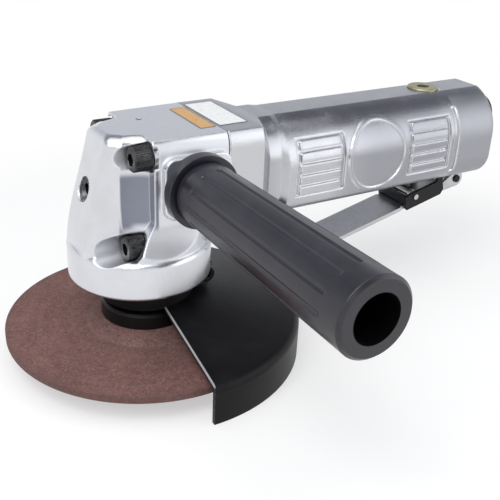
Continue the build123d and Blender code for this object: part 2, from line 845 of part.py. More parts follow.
# Screws and lock washers between the gear head and the motor housing
with BuildPart() as head_screws:
    for screw_plane in screw_planes:
        with BuildSketch(screw_plane.offset(washer_thickness)):
            with GridLocations(screw_spread_y, 0, 2, 1):
                Circle(screw_head_radius)
        extrude(amount=screw_head_length)
        with BuildSketch(screw_plane.offset(washer_thickness + screw_head_length)):
            with GridLocations(screw_spread_y, 0, 2, 1):
                RegularPolygon(screw_socket / 2, 6, major_radius=False)
        extrude(amount=-screw_head_length / 2, mode=Mode.SUBTRACT)
        with BuildSketch(screw_plane.offset(washer_thickness)):
            with GridLocations(screw_spread_y, 0, 2, 1):
                Circle(screw_radius)
        extrude(amount=screw_plane.origin.X - screw_end_x - washer_thickness)
pieces["head_screws"] = head_screws.part

with BuildPart() as lock_washers:
    for screw_plane in screw_planes:
        with BuildSketch(screw_plane):
            with GridLocations(screw_spread_y, 0, 2, 1):
                Circle(washer_radius)
                Circle(screw_radius + screw_hole_gap, mode=Mode.SUBTRACT)
                with Locations((washer_radius, 0)):
                    Rectangle(2 * washer_radius, washer_slit, mode=Mode.SUBTRACT)
        extrude(amount=washer_thickness)
pieces["lock_washers"] = lock_washers.part

# Grease plug, sunk in its hole in the nose
with BuildPart() as grease_plug:
    with BuildSketch(motor_plane.offset(grease_plug_front_x)):
        with Locations((0, grease_plug_rise)):
            Circle(grease_plug_radius - thread_clearance)
    extrude(amount=grease_plug_length)
    with BuildSketch(motor_plane.offset(grease_plug_front_x)):
        with Locations((0, grease_plug_rise)):
            RegularPolygon(grease_plug_socket / 2, 6, major_radius=False)
    extrude(amount=grease_plug_length / 2, mode=Mode.SUBTRACT)
pieces["grease_plug"] = grease_plug.part

# Gasket at the seam
with BuildPart() as seam_gasket:
    with BuildSketch(motor_plane.offset(seam_x)):
        with BuildLine():
            case_outline(flange_flat, flange_width, flange_shoulder, flange_height, flange_corner)
        make_face()
        Circle(motor_bore_radius, mode=Mode.SUBTRACT)
        with Locations((0, screw_centre_z - motor_axis_z)):
            with GridLocations(screw_spread_y, screw_spread_z, 2, 2):
                Circle(screw_radius + screw_hole_gap, mode=Mode.SUBTRACT)
    extrude(amount=gasket_thickness)
pieces["seam_gasket"] = seam_gasket.part

# Motor housing: square flange, drawn-in neck and a grip with two ribbed panels on each side
housing_sections = (
    (housing_front_x, flange_flat, flange_width, flange_shoulder, flange_height, flange_corner, 0),
    (neck_start_x, flange_flat, flange_width, flange_shoulder, flange_height, flange_corner, 0),
    (neck_front_x, neck_flat, neck_width, neck_shoulder, neck_height, neck_corner, neck_drop),
    (neck_back_x, neck_flat, neck_width, neck_shoulder, neck_height, neck_corner, neck_drop),
    (grip_front_x, grip_flat, grip_width, grip_shoulder, grip_height, grip_corner, grip_drop),
    (grip_back_x, grip_flat, grip_width, grip_shoulder, grip_height, grip_corner, grip_drop),
)
panels = ((front_panel_start, front_panel_length), (rear_panel_start, rear_panel_length))
side_recesses = (
    (front_panel_start, front_panel_length, panel_half_height, panel_depth),
    (rear_panel_start, rear_panel_length, panel_half_height, panel_depth),
    (rear_groove_x, rear_groove_width, rear_groove_half_height, rear_groove_depth),
)
rib_pitch = 2 * panel_half_height / rib_count
medallion_plane = Plane(origin=(medallion_x, 0, motor_axis_z), x_dir=(1, 0, 0), z_dir=(0, -1, 0))


def grip_outline(growth):
    """Cross section of the grip, grown outwards by a distance, or drawn in where it is negative."""
    case_outline(
        grip_flat,
        grip_width + 2 * growth,
        grip_shoulder + growth,
        grip_height + 2 * growth,
        grip_corner + growth,
        grip_drop - growth,
    )


# Raised rim of the bare round field on each side of the grip
with BuildPart() as medallion_rims:
    with BuildSketch(motor_plane.offset(medallion_x - medallion_radius)):
        with BuildLine():
            grip_outline(medallion_rise)
        make_face()
    extrude(amount=2 * medallion_radius)
    with BuildSketch(medallion_plane):
        Circle(medallion_radius)
        Circle(medallion_radius - medallion_rim, mode=Mode.SUBTRACT)
    extrude(amount=grip_width, both=True, mode=Mode.INTERSECT)

with BuildPart() as motor_housing:
    for (front, back) in zip(housing_sections, housing_sections[1:]):
        for station, flat, width, shoulder, height, corner, drop in (front, back):
            with BuildSketch(motor_plane.offset(station)):
                with BuildLine():
                    case_outline(flat, width, shoulder, height, corner, drop)
                make_face()
        loft()
    fillet(motor_housing.edges().group_by(Axis.X)[-1], radius=grip_end_round)
    for start, length, half_height, depth in side_recesses:
        with BuildSketch(motor_plane.offset(start)):
            Rectangle(2 * grip_width, 2 * half_height)
            with BuildLine():
                grip_outline(-depth)
            make_face(mode=Mode.SUBTRACT)
        extrude(amount=length, mode=Mode.SUBTRACT)
    for panel_start, panel_length in panels:
        with BuildSketch(motor_plane.offset(panel_start + rib_end_gap)):
            with GridLocations(0, rib_pitch, 1, rib_count):
                Rectangle(2 * grip_width, rib_height)
            with BuildLine():
                grip_outline(0)
            make_face(mode=Mode.INTERSECT)
        extrude(amount=panel_length - 2 * rib_end_gap)
    add(medallion_rims.part)
    # Lug below the rear end that carries the lever
    with BuildSketch(Plane.XZ):
        with Locations((lever_pivot_x, lever_pivot_z)):
            Circle(lever_ear_radius)
            Rectangle(
                2 * lever_ear_radius,
                grip_bottom_z - lever_pivot_z + panel_depth,
                align=(Align.CENTER, Align.MIN),
            )
    extrude(amount=lug_half_width, both=True)
    with BuildSketch(Plane.XZ):
        with Locations((lever_pivot_x, lever_pivot_z)):
            Circle(lever_pin_radius + seat_clearance)
    extrude(amount=2 * lug_half_width, both=True, mode=Mode.SUBTRACT)
    # Motor bore and the threads of the head screws
    with BuildSketch(motor_plane.offset(housing_front_x)):
        Circle(motor_bore_radius)
    extrude(amount=bore_end_x - housing_front_x, mode=Mode.SUBTRACT)
    with BuildSketch(motor_plane.offset(housing_front_x)):
        with Locations((0, screw_centre_z - motor_axis_z)):
            with GridLocations(screw_spread_y, screw_spread_z, 2, 2):
                Circle(screw_radius + thread_clearance)
    extrude(amount=screw_grip_length + free_gap, mode=Mode.SUBTRACT)
    # Valve chamber, stem guide and air passages
    with BuildSketch(Plane.XY.offset(chamber_floor_z)):
        with Locations((valve_x, 0)):
            Circle(chamber_radius)
    extrude(amount=head_top_z - chamber_floor_z, mode=Mode.SUBTRACT)
    with BuildSketch(Plane.XY.offset(plug_seat_z)):
        with Locations((valve_x, 0)):
            Circle(plug_head_radius + free_gap)
    extrude(amount=head_top_z - plug_seat_z, mode=Mode.SUBTRACT)
    with BuildSketch(Plane.XY.offset(chamber_floor_z)):
        with Locations((valve_x, 0)):
            Circle(stem_radius + running_clearance)
    extrude(amount=grip_bottom_z - chamber_floor_z, mode=Mode.SUBTRACT)
    with BuildSketch(motor_plane.offset(bore_end_x)):
        with Locations((0, motor_passage_z - motor_axis_z)):
            Circle(motor_passage_radius)
    extrude(amount=valve_x - bore_end_x, mode=Mode.SUBTRACT)
    with BuildSketch(motor_plane.offset(valve_x)):
        Circle(inlet_passage_radius)
    extrude(amount=inlet_inner_x - valve_x, mode=Mode.SUBTRACT)
    with BuildSketch(motor_plane.offset(inlet_inner_x)):
        Circle(inlet_body_radius + thread_clearance)
    extrude(amount=inlet_body_length, mode=Mode.SUBTRACT)
    with BuildSketch(motor_plane.offset(bore_end_x)):
        with GridLocations(2 * exhaust_passage_y, 0, 2, 1):
            Circle(exhaust_passage_radius)
    extrude(amount=grip_back_x - bore_end_x, mode=Mode.SUBTRACT)
    with BuildSketch(motor_plane.offset(grip_back_x)):
        RectangleRounded(exhaust_recess_width, exhaust_recess_height, exhaust_recess_corner)
    extrude(amount=-exhaust_plate_thickness - silencer_thickness, mode=Mode.SUBTRACT)
pieces["motor_housing"] = motor_housing.part

# Bearing at the pinion, in the pocket of the front end plate
pieces["pinion_bearing_outer"] = bearing_outer(
    pinion_bearing_bore, pinion_bearing_outside, pinion_bearing_width, motor_plane.offset(front_plate_x)
)
pieces["pinion_bearing_inner"] = ring(
    pinion_bearing_bore / 2 + seat_clearance,
    pinion_bearing_bore / 2 + race_thickness,
    pinion_bearing_width,
    motor_plane.offset(front_plate_x),
)

# Front end plate of the motor
with BuildPart() as front_end_plate:
    with BuildSketch(motor_plane.offset(front_plate_x)):
        Circle(motor_bore_radius - running_clearance)
        Circle(pinion_bearing_bore / 2 + shaft_hole_gap, mode=Mode.SUBTRACT)
    extrude(amount=front_plate_thickness)
    with BuildSketch(motor_plane.offset(front_plate_x)):
        Circle(pinion_bearing_outside / 2)
    extrude(amount=pinion_bearing_width, mode=Mode.SUBTRACT)
    with BuildSketch(motor_plane.offset(cylinder_x)):
        with Locations(pin_place):
            Circle(pin_radius)
    extrude(amount=-pin_engagement, mode=Mode.SUBTRACT)
pieces["front_end_plate"] = front_end_plate.part

# Cylinder, whose bore is set off from the rotor's axis
with BuildPart() as cylinder:
    with BuildSketch(motor_plane.offset(cylinder_x)):
        Circle(motor_bore_radius - running_clearance)
        with Locations((0, cylinder_offset)):
            Circle(cylinder_bore_radius, mode=Mode.SUBTRACT)
        with Locations(pin_place):
            Circle(pin_radius, mode=Mode.SUBTRACT)
    extrude(amount=cylinder_length)
    with BuildSketch(Plane.XZ):
        with Locations((cylinder_x + cylinder_length / 2, motor_axis_z)):
            with GridLocations(2 * port_width, 0, port_count, 1):
                SlotOverall(4 * port_width, port_width, rotation=90)
    extrude(amount=motor_bore_radius, both=True, mode=Mode.SUBTRACT)
pieces["cylinder"] = cylinder.part

# Rear end plate, with its air holes and bearing pocket
with BuildPart() as rear_end_plate:
    with BuildSketch(motor_plane.offset(rear_plate_x)):
        Circle(motor_bore_radius - running_clearance)
        Circle(rear_bearing_bore / 2 + shaft_hole_gap, mode=Mode.SUBTRACT)
        with Locations((0, motor_passage_z - motor_axis_z)):
            Circle(motor_passage_radius, mode=Mode.SUBTRACT)
        with GridLocations(2 * exhaust_passage_y, 0, 2, 1):
            Circle(exhaust_passage_radius, mode=Mode.SUBTRACT)
    extrude(amount=rear_plate_thickness)
    with BuildSketch(motor_plane.offset(bore_end_x)):
        Circle(rear_bearing_outside / 2)
    extrude(amount=-rear_bearing_width, mode=Mode.SUBTRACT)
    with BuildSketch(motor_plane.offset(rear_plate_x)):
        with Locations(pin_place):
            Circle(pin_radius)
    extrude(amount=pin_engagement, mode=Mode.SUBTRACT)
pieces["rear_end_plate"] = rear_end_plate.part

pieces["rear_bearing_outer"] = bearing_outer(
    rear_bearing_bore,
    rear_bearing_outside,
    rear_bearing_width,
    motor_plane.offset(bore_end_x - rear_bearing_width),
)
pieces["rear_bearing_inner"] = ring(
    rear_bearing_bore / 2 + seat_clearance,
    rear_bearing_bore / 2 + race_thickness,
    rear_bearing_width,
    motor_plane.offset(bore_end_x - rear_bearing_width),
)

# Dowel that keeps the cylinder and its end plates in line
with BuildPart() as cylinder_pin:
    with BuildSketch(motor_plane.offset(cylinder_x - pin_engagement)):
        with Locations(pin_place):
            Circle(pin_radius - seat_clearance)
    extrude(amount=cylinder_length + 2 * pin_engagement)
pieces["cylinder_pin"] = cylinder_pin.part

# Rotor with its vane slots and rear journal
with BuildPart() as rotor:
    with BuildSketch(motor_plane.offset(rotor_x)):
        Circle(rotor_radius)
        with PolarLocations(rotor_radius, vane_count):
            Rectangle(2 * vane_height, vane_thickness, mode=Mode.SUBTRACT)
    extrude(amount=rotor_length)
    with BuildSketch(motor_plane.offset(rotor_x + rotor_length)):
        Circle(rear_bearing_bore / 2)
    extrude(amount=bore_end_x - rotor_x - rotor_length)
    with BuildSketch(motor_plane.offset(rotor_x)):
        Circle(rotor_tail_radius + seat_clearance)
    extrude(amount=rotor_tail_depth, mode=Mode.SUBTRACT)
pieces["rotor"] = rotor.part

with BuildPart() as rotor_vanes:
    with BuildSketch(motor_plane.offset(rotor_x)):
        with PolarLocations(rotor_radius + vane_stand_out, vane_count):
            Rectangle(
                vane_height,
                vane_thickness - 2 * running_clearance,
                align=(Align.MAX, Align.CENTER),
            )
    extrude(amount=rotor_length)
pieces["rotor_vanes"] = rotor_vanes.part

# Bevel pinion, cut on its own shaft
pinion_tip_outer = tip_point(pinion_teeth, gear_teeth, 1.0)
pinion_tip_inner = tip_point(pinion_teeth, gear_teeth, gear_inner_share)
pinion_rim_z = pinion_tip_outer[1] - pinion_rim_length
with BuildPart() as bevel_pinion:
    with BuildSketch(Plane.XZ):
        with BuildLine():
            Polyline(
                (0, pinion_tip_inner[1]),
                (pinion_tip_inner[0], pinion_tip_inner[1]),
                (pinion_tip_outer[0], pinion_tip_outer[1]),
                (pinion_tip_outer[0], pinion_rim_z),
                (pinion_bearing_bore / 2, pinion_rim_z),
                (pinion_bearing_bore / 2, -rotor_x),
                (rotor_tail_radius, -rotor_x),
                (rotor_tail_radius, -rotor_x - rotor_tail_depth + rotor_end_gap),
                (0, -rotor_x - rotor_tail_depth + rotor_end_gap),
                close=True,
            )
        make_face()
    revolve(axis=Axis.Z)
    with PolarLocations(0, pinion_teeth, start_angle=180 / pinion_teeth):
        add(pinion_gap, mode=Mode.SUBTRACT)
pieces["bevel_pinion"] = pinion_plane * bevel_pinion.part

# Throttle valve: seat, stem with its head and seal, spring and plug
valve_plane = Plane(origin=(valve_x, 0, 0))
pieces["valve_seat"] = ring(
    seat_hole_radius, chamber_radius - seat_clearance, seat_height, valve_plane.offset(seat_bottom_z)
)
pieces["valve_seal"] = ring(
    stem_radius + seat_clearance,
    valve_head_radius,
    valve_seal_height,
    valve_plane.offset(seat_top_z),
)
with BuildPart() as valve_stem:
    with BuildSketch(valve_plane.offset(stem_ball_z)):
        Circle(stem_radius)
    extrude(amount=spring_bottom_z - stem_ball_z)
    with Locations((valve_x, 0, stem_ball_z)):
        Sphere(stem_radius)
    with BuildSketch(valve_plane.offset(valve_head_z)):
        Circle(valve_head_radius)
    extrude(amount=valve_head_height)
pieces["valve_stem"] = valve_stem.part

with BuildPart() as valve_plug:
    with BuildSketch(valve_plane.offset(plug_bottom_z)):
        Circle(chamber_radius - thread_clearance)
    extrude(amount=plug_thread_length)
    with BuildSketch(valve_plane.offset(plug_seat_z)):
        Circle(plug_head_radius)
    extrude(amount=plug_head_height)
    chamfer(valve_plug.edges().group_by(Axis.Z)[-1], length=plug_head_height / 4)
    with BuildSketch(valve_plane.offset(plug_seat_z + plug_head_height)):
        RegularPolygon(plug_socket / 2, 6, major_radius=False)
    extrude(amount=-plug_thread_length / 2, mode=Mode.SUBTRACT)
pieces["valve_plug"] = valve_plug.part

spring_height = plug_bottom_z - spring_bottom_z - 2 * (spring_wire_radius + seat_clearance)
spring_start_z = spring_bottom_z + spring_wire_radius + seat_clearance


def spring_point(turn):
    """Point on the centre line of the valve spring after a number of turns."""
    angle = 2 * pi * turn
    return (
        valve_x + spring_coil_radius * cos(angle),
        spring_coil_radius * sin(angle),
        spring_start_z + spring_height * turn / spring_turns,
    )


with BuildPart() as valve_spring:
    with BuildLine() as spring_line:
        for quarter in range(4 * spring_turns):
            ThreePointArc(
                spring_point(quarter / 4),
                spring_point(quarter / 4 + 1 / 8),
                spring_point(quarter / 4 + 1 / 4),
            )
    with BuildSketch(Plane(origin=spring_line.line @ 0, z_dir=spring_line.line % 0)):
        Circle(spring_wire_radius)
    sweep()
spring_points = [spring_point(step / spring_samples) for step in range(spring_samples * spring_turns + 1)]
spring_pitch_gap = min(
    dist(first, second)
    for place, first in enumerate(spring_points)
    for second in spring_points[place + spring_samples // 2 :]
)
print(f"least gap between the turns of the spring: {spring_pitch_gap - 2 * spring_wire_radius:.2f} mm")
pieces["valve_spring"] = valve_spring.part

# Air inlet: threaded bushing with its strainer
with BuildPart() as inlet_bushing:
    with BuildSketch(motor_plane.offset(inlet_inner_x)):
        Circle(inlet_body_radius)
    extrude(amount=inlet_body_length)
    with BuildSketch(motor_plane.offset(inlet_hex_x)):
        RegularPolygon(inlet_hex_width / 2, 6, major_radius=False)
    extrude(amount=inlet_hex_length)
    with BuildSketch(motor_plane.offset(inlet_end_x)):
        Circle(inlet_thread_radius)
    extrude(amount=-inlet_thread_length, mode=Mode.SUBTRACT)
    with BuildSketch(motor_plane.offset(inlet_inner_x)):
        Circle(inlet_passage_radius)
    extrude(amount=inlet_body_length, mode=Mode.SUBTRACT)
pieces["inlet_bushing"] = inlet_bushing.part

with BuildPart() as inlet_strainer:
    with BuildSketch(motor_plane.offset(inlet_end_x - inlet_thread_length)):
        Circle(inlet_passage_radius - seat_clearance)
    extrude(amount=-strainer_length)
    with BuildSketch(motor_plane.offset(inlet_end_x - inlet_thread_length)):
        Circle(inlet_passage_radius - strainer_wall)
    extrude(amount=strainer_wall - strainer_length, mode=Mode.SUBTRACT)
pieces["inlet_strainer"] = inlet_strainer.part

# Silencer pad and pierced plate over the exhaust
exhaust_floor_x = grip_back_x - exhaust_plate_thickness - silencer_thickness
with BuildPart() as silencer_pad:
    with BuildSketch(motor_plane.offset(exhaust_floor_x)):
        RectangleRounded(
            exhaust_recess_width - 2 * running_clearance,
            exhaust_recess_height - 2 * running_clearance,
            exhaust_recess_corner - running_clearance,
        )
        Circle(inlet_body_radius + thread_clearance, mode=Mode.SUBTRACT)
    extrude(amount=silencer_thickness)
pieces["silencer_pad"] = silencer_pad.part

with BuildPart() as exhaust_plate:
    with BuildSketch(motor_plane.offset(exhaust_floor_x + silencer_thickness)):
        RectangleRounded(
            exhaust_recess_width - 2 * running_clearance,
            exhaust_recess_height - 2 * running_clearance,
            exhaust_recess_corner - running_clearance,
        )
        Circle(inlet_body_radius + thread_clearance, mode=Mode.SUBTRACT)
        with PolarLocations(exhaust_hole_circle, exhaust_hole_count):
            Circle(exhaust_hole_radius, mode=Mode.SUBTRACT)
    extrude(amount=exhaust_plate_thickness)
pieces["exhaust_plate"] = exhaust_plate.part

# Throttle lever: flat plate, rear ears on the pivot and two small ears for the latch
with BuildPart() as throttle_lever:
    with BuildSketch(lever_top_plane) as lever_plate:
        with Locations((lever_reach, 0)):
            Rectangle(lever_reach - lever_neck_reach, 2 * lever_half_width, align=(Align.MAX, Align.CENTER))
        with Locations((lever_neck_reach, 0)):
            Rectangle(
                lever_neck_reach - lever_plate_back,
                2 * lever_neck_half_width,
                align=(Align.MAX, Align.CENTER),
            )
        fillet(lever_plate.vertices().group_by(Axis.X)[-1], radius=lever_end_round)
    extrude(amount=-lever_thickness)
    for side in (1, -1):
        inner_y = side * (lever_neck_half_width - lever_ear_thickness)
        with BuildSketch(lever_side_plane.offset(inner_y)):
            Circle(lever_ear_radius)
            with BuildLine():
                Polyline(
                    (0, lever_ear_radius),
                    (lever_ear_length, -lever_drop),
                    (lever_ear_length, -lever_drop - lever_thickness),
                    (0, -lever_ear_radius),
                    close=True,
                )
            make_face()
            with Locations((latch_reach, latch_level)):
                Circle(latch_ear_radius)
                Rectangle(
                    2 * latch_ear_radius, latch_rise + lever_thickness / 2, align=(Align.CENTER, Align.MAX)
                )
        extrude(amount=side * lever_ear_thickness)
    with BuildSketch(lever_side_plane):
        Circle(lever_pin_radius + running_clearance)
        with Locations((latch_reach, latch_level)):
            Circle(latch_pin_radius + seat_clearance)
    extrude(amount=lever_half_width, both=True, mode=Mode.SUBTRACT)
pieces["throttle_lever"] = throttle_lever.part

# Pins of the lever and of the latch
with BuildPart() as lever_pin:
    with BuildSketch(lever_side_plane):
        Circle(lever_pin_radius)
    extrude(amount=lever_neck_half_width + lever_pin_stand_out, both=True)
pieces["lever_pin"] = lever_pin.part

with BuildPart() as latch_pin:
    with BuildSketch(lever_side_plane):
        with Locations((latch_reach, latch_level)):
            Circle(latch_pin_radius)
    extrude(amount=latch_outer_y + lever_pin_stand_out, both=True)
pieces["latch_pin"] = latch_pin.part

# Lock-off latch: two cheeks beside the lever, joined by a web in front of its ears
latch_foot = -lever_drop - latch_skirt
latch_top = latch_level + latch_crown
with BuildPart() as lock_off_latch:
    for side in (1, -1):
        with BuildSketch(lever_side_plane.offset(side * latch_inner_y)):
            with BuildLine():
                Polyline(
                    (latch_front_reach, latch_foot),
                    (latch_front_reach, latch_top - latch_crown),
                    (latch_front_reach - latch_crown, latch_top),
                    (latch_reach / 2, latch_top),
                    (latch_back_reach + latch_nose_length, latch_nose_level),
                    (latch_back_reach, latch_nose_level),
                    (latch_back_reach, -lever_drop),
                    (latch_back_reach + latch_skirt, latch_foot),
                    close=True,
                )
            make_face()
        extrude(amount=side * latch_cheek_thickness)
    with BuildSketch(lever_side_plane):
        with Locations((latch_front_reach, free_gap - lever_drop)):
            Rectangle(latch_web_thickness, latch_web_height, align=(Align.MAX, Align.MIN))
    extrude(amount=latch_outer_y, both=True)
    with BuildSketch(lever_side_plane):
        with Locations((latch_reach, latch_level)):
            Circle(latch_pin_radius + running_clearance)
    extrude(amount=2 * latch_outer_y, both=True, mode=Mode.SUBTRACT)
pieces["lock_off_latch"] = lock_off_latch.part

# Side handle: threaded rod and fluted rubber grip with an open end
with BuildPart() as handle_rod:
    with BuildSketch(handle_plane.offset(pad_face_y - handle_thread_depth + free_gap)):
        Circle(handle_thread_radius - thread_clearance)
    extrude(amount=handle_thread_depth - free_gap)
    with BuildSketch(handle_plane.offset(pad_face_y)):
        Circle(handle_rod_radius)
    extrude(amount=handle_rod_length)
    chamfer(handle_rod.edges().group_by(Axis.Y)[-1], length=edge_chamfer)
pieces["handle_rod"] = handle_rod.part

grip_body_start = pad_face_y + handle_collar_width + handle_groove_width
grip_body_end = handle_end_y - handle_end_chamfer
handle_taper = (handle_end_radius - handle_start_radius) / (grip_body_end - grip_body_start)


def flute_point(distance):
    """Centre of the flute cutter, beside the tapered grip at a distance along the handle."""
    surface = handle_start_radius + handle_taper * (distance - grip_body_start)
    return (surface + flute_radius - flute_depth, 0, distance)


with BuildPart() as flute:
    with BuildLine() as flute_line:
        Line(flute_point(grip_body_start + flute_start), flute_point(handle_end_y - flute_end_gap))
    with BuildSketch(Plane(origin=flute_line.line @ 0, z_dir=flute_line.line % 0)):
        Circle(flute_radius)
    sweep()
    with Locations(flute_line.line @ 0, flute_line.line @ 1):
        Sphere(flute_radius)

with BuildPart() as handle_grip:
    with BuildSketch(handle_profile_plane):
        with BuildLine():
            Polyline(
                (0, pad_face_y + handle_rod_length + free_gap),
                (handle_rod_radius + seat_clearance, pad_face_y + handle_rod_length + free_gap),
                (handle_rod_radius + seat_clearance, pad_face_y),
                (handle_collar_radius, pad_face_y),
                (handle_collar_radius, pad_face_y + handle_collar_width),
                (handle_start_radius - handle_groove_depth, pad_face_y + handle_collar_width),
                (handle_start_radius - handle_groove_depth, grip_body_start),
                (handle_start_radius, grip_body_start),
                (handle_end_radius, grip_body_end),
                (handle_end_radius - handle_end_chamfer, handle_end_y),
                (handle_bore_radius, handle_end_y),
                (handle_bore_radius, handle_end_y - handle_bore_depth),
                (0, handle_end_y - handle_bore_depth),
                close=True,
            )
        make_face()
    revolve(axis=Axis((handle_x, 0, handle_z), (0, -1, 0)))
    with Locations(handle_plane):
        with PolarLocations(0, flute_count):
            add(flute.part, mode=Mode.SUBTRACT)
pieces["handle_grip"] = handle_grip.part

# Guard: half cone with a skirt
guard_start = radians(-guard_sector / 2)
guard_plane = Plane(
    origin=(0, 0, 0),
    x_dir=(cos(guard_start), sin(guard_start), 0),
    z_dir=(sin(guard_start), -cos(guard_start), 0),
)
guard_inner_top_z = guard_cone_top_z - guard_thickness / cos(guard_slope)
guard_inner_shoulder_z = guard_inner_top_z - tan(guard_slope) * (
    guard_radius - guard_thickness - collar_outer_radius
)
with BuildPart() as guard:
    with BuildSketch(guard_plane):
        with BuildLine():
            FilletPolyline(
                (collar_outer_radius + seat_clearance, guard_cone_top_z),
                (guard_radius, guard_shoulder_z),
                (guard_radius, guard_skirt_bottom_z),
                radius=guard_bend_radius,
            )
            FilletPolyline(
                (collar_outer_radius + seat_clearance, guard_inner_top_z),
                (guard_radius - guard_thickness, guard_inner_shoulder_z),
                (guard_radius - guard_thickness, guard_skirt_bottom_z),
                radius=guard_bend_radius - guard_thickness,
            )
            Line(
                (collar_outer_radius + seat_clearance, guard_cone_top_z),
                (collar_outer_radius + seat_clearance, guard_inner_top_z),
            )
            Line(
                (guard_radius, guard_skirt_bottom_z),
                (guard_radius - guard_thickness, guard_skirt_bottom_z),
            )
        make_face()
    revolve(axis=Axis.Z, revolution_arc=guard_sector)
pieces["guard"] = guard.part

# Split collar of the guard, clamped round the bearing cap
collar_bottom_z = bell_bottom_z - collar_height - 2 * free_gap
with BuildPart() as guard_collar:
    with BuildSketch(Plane.XY.offset(collar_bottom_z)):
        Circle(collar_outer_radius)
        Circle(collar_inner_radius, mode=Mode.SUBTRACT)
    extrude(amount=collar_height)
    with BuildSketch(Plane.XY.offset(collar_ear_bottom_z)):
        with Locations((collar_inner_radius + collar_thickness / 2, 0)):
            Rectangle(
                collar_thickness / 2 + collar_ear_length,
                2 * clamp_face_y,
                align=(Align.MIN, Align.CENTER),
            )
    extrude(amount=collar_ear_height)
    with BuildSketch(Plane.XY.offset(collar_bottom_z)):
        with Locations((cap_nose_radius / 2, 0)):
            Rectangle(2 * cap_nose_radius, collar_split, align=(Align.MIN, Align.CENTER))
    extrude(amount=collar_height, mode=Mode.SUBTRACT)
    with BuildSketch(clamp_plane):
        Circle(clamp_screw_radius + screw_hole_gap)
    extrude(amount=2 * clamp_face_y, both=True, mode=Mode.SUBTRACT)
pieces["guard_collar"] = guard_collar.part

# Screw and nut of the collar
with BuildPart() as clamp_screw:
    with BuildSketch(clamp_plane.offset(clamp_face_y)):
        Circle(clamp_screw_head_radius)
    extrude(amount=clamp_screw_head_length)
    with BuildSketch(clamp_plane.offset(clamp_face_y)):
        Circle(clamp_screw_radius)
    extrude(amount=-2 * clamp_face_y - clamp_nut_thickness - free_gap)
    with BuildSketch(clamp_plane.offset(clamp_face_y + clamp_screw_head_length)):
        RegularPolygon(clamp_screw_socket / 2, 6, major_radius=False)
    extrude(amount=-clamp_screw_head_length / 2, mode=Mode.SUBTRACT)
pieces["clamp_screw"] = clamp_screw.part

with BuildPart() as clamp_nut:
    with BuildSketch(clamp_plane.offset(-clamp_face_y)):
        RegularPolygon(clamp_nut_width / 2, 6, major_radius=False)
        Circle(clamp_screw_radius + thread_clearance, mode=Mode.SUBTRACT)
    extrude(amount=-clamp_nut_thickness)
pieces["clamp_nut"] = clamp_nut.part

os.makedirs("parts", exist_ok=True)
for label, piece in pieces.items():
    piece.label = label
    export_step(piece, f"parts/{label}.step")
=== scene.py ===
"""Air grinder dressed for a studio picture.

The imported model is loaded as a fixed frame. Each class below stands for one sub-assembly of the tool: it
holds its sizes in metres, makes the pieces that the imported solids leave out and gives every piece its
finish.
"""

import logging
import math
from dataclasses import dataclass
from enum import Enum
from typing import Any, ClassVar, Sequence, Union

import bmesh
import bpy
from mathutils import Matrix, Vector


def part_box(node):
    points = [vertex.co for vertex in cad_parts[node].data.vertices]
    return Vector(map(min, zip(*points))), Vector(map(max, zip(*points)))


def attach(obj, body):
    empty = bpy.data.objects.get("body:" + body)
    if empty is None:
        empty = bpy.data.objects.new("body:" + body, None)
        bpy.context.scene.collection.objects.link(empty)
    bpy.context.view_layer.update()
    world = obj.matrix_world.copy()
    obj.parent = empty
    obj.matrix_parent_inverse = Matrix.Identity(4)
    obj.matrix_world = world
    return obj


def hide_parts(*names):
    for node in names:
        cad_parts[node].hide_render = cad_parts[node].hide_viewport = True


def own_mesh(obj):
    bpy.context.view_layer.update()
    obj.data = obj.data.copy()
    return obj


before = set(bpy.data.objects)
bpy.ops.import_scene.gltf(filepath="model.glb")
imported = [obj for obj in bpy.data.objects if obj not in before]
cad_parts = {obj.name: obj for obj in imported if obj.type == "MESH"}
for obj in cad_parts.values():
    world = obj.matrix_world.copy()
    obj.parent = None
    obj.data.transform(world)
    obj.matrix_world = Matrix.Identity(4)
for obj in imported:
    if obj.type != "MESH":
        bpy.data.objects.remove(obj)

log = logging.getLogger("air_grinder")
Number = Union[float, "Wire"]
Span = tuple[float, float]
Point = tuple[float, float, float]
Colour = tuple[float, float, float]
Field = tuple[Span, Span]  # ends along X and ends along Y
Material = bpy.types.Material
Shape = bmesh.types.BMesh
Ring = list[bmesh.types.BMEdge]

CARRIER = "housing"  # body that every new piece rides on
HANDLE_X, HANDLE_Z = 0.0119, 0.0790  # axis of the side handle and of the far pad's thread
SCREW_MIDDLE, SCREW_SPREAD = 0.0734, 0.0190  # middle height of the head screws, and half their spread
HEXAGON = 6  # sides of a socket
CORNER_LIMIT = 100_000  # more corners than any new piece has
TELLING_CORNERS = 3  # corners that tell one face from every other
LEVEL_FACE = 0.985  # least upward part of the direction of a flat top
SIDE_FACE = (0.42, 0.6)  # sideways part of a face's direction, from a slope to a side
RUBBED_EDGE = (0.01, 0.16)  # turn of a rounded edge from its face, from untouched to rubbed
WHITE: Colour = (1.0, 1.0, 1.0)


class Slot(Enum):
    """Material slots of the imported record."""

    ALLOY = "polished_alloy"
    STEEL = "bright_steel"
    BLACK_STEEL = "black_steel"


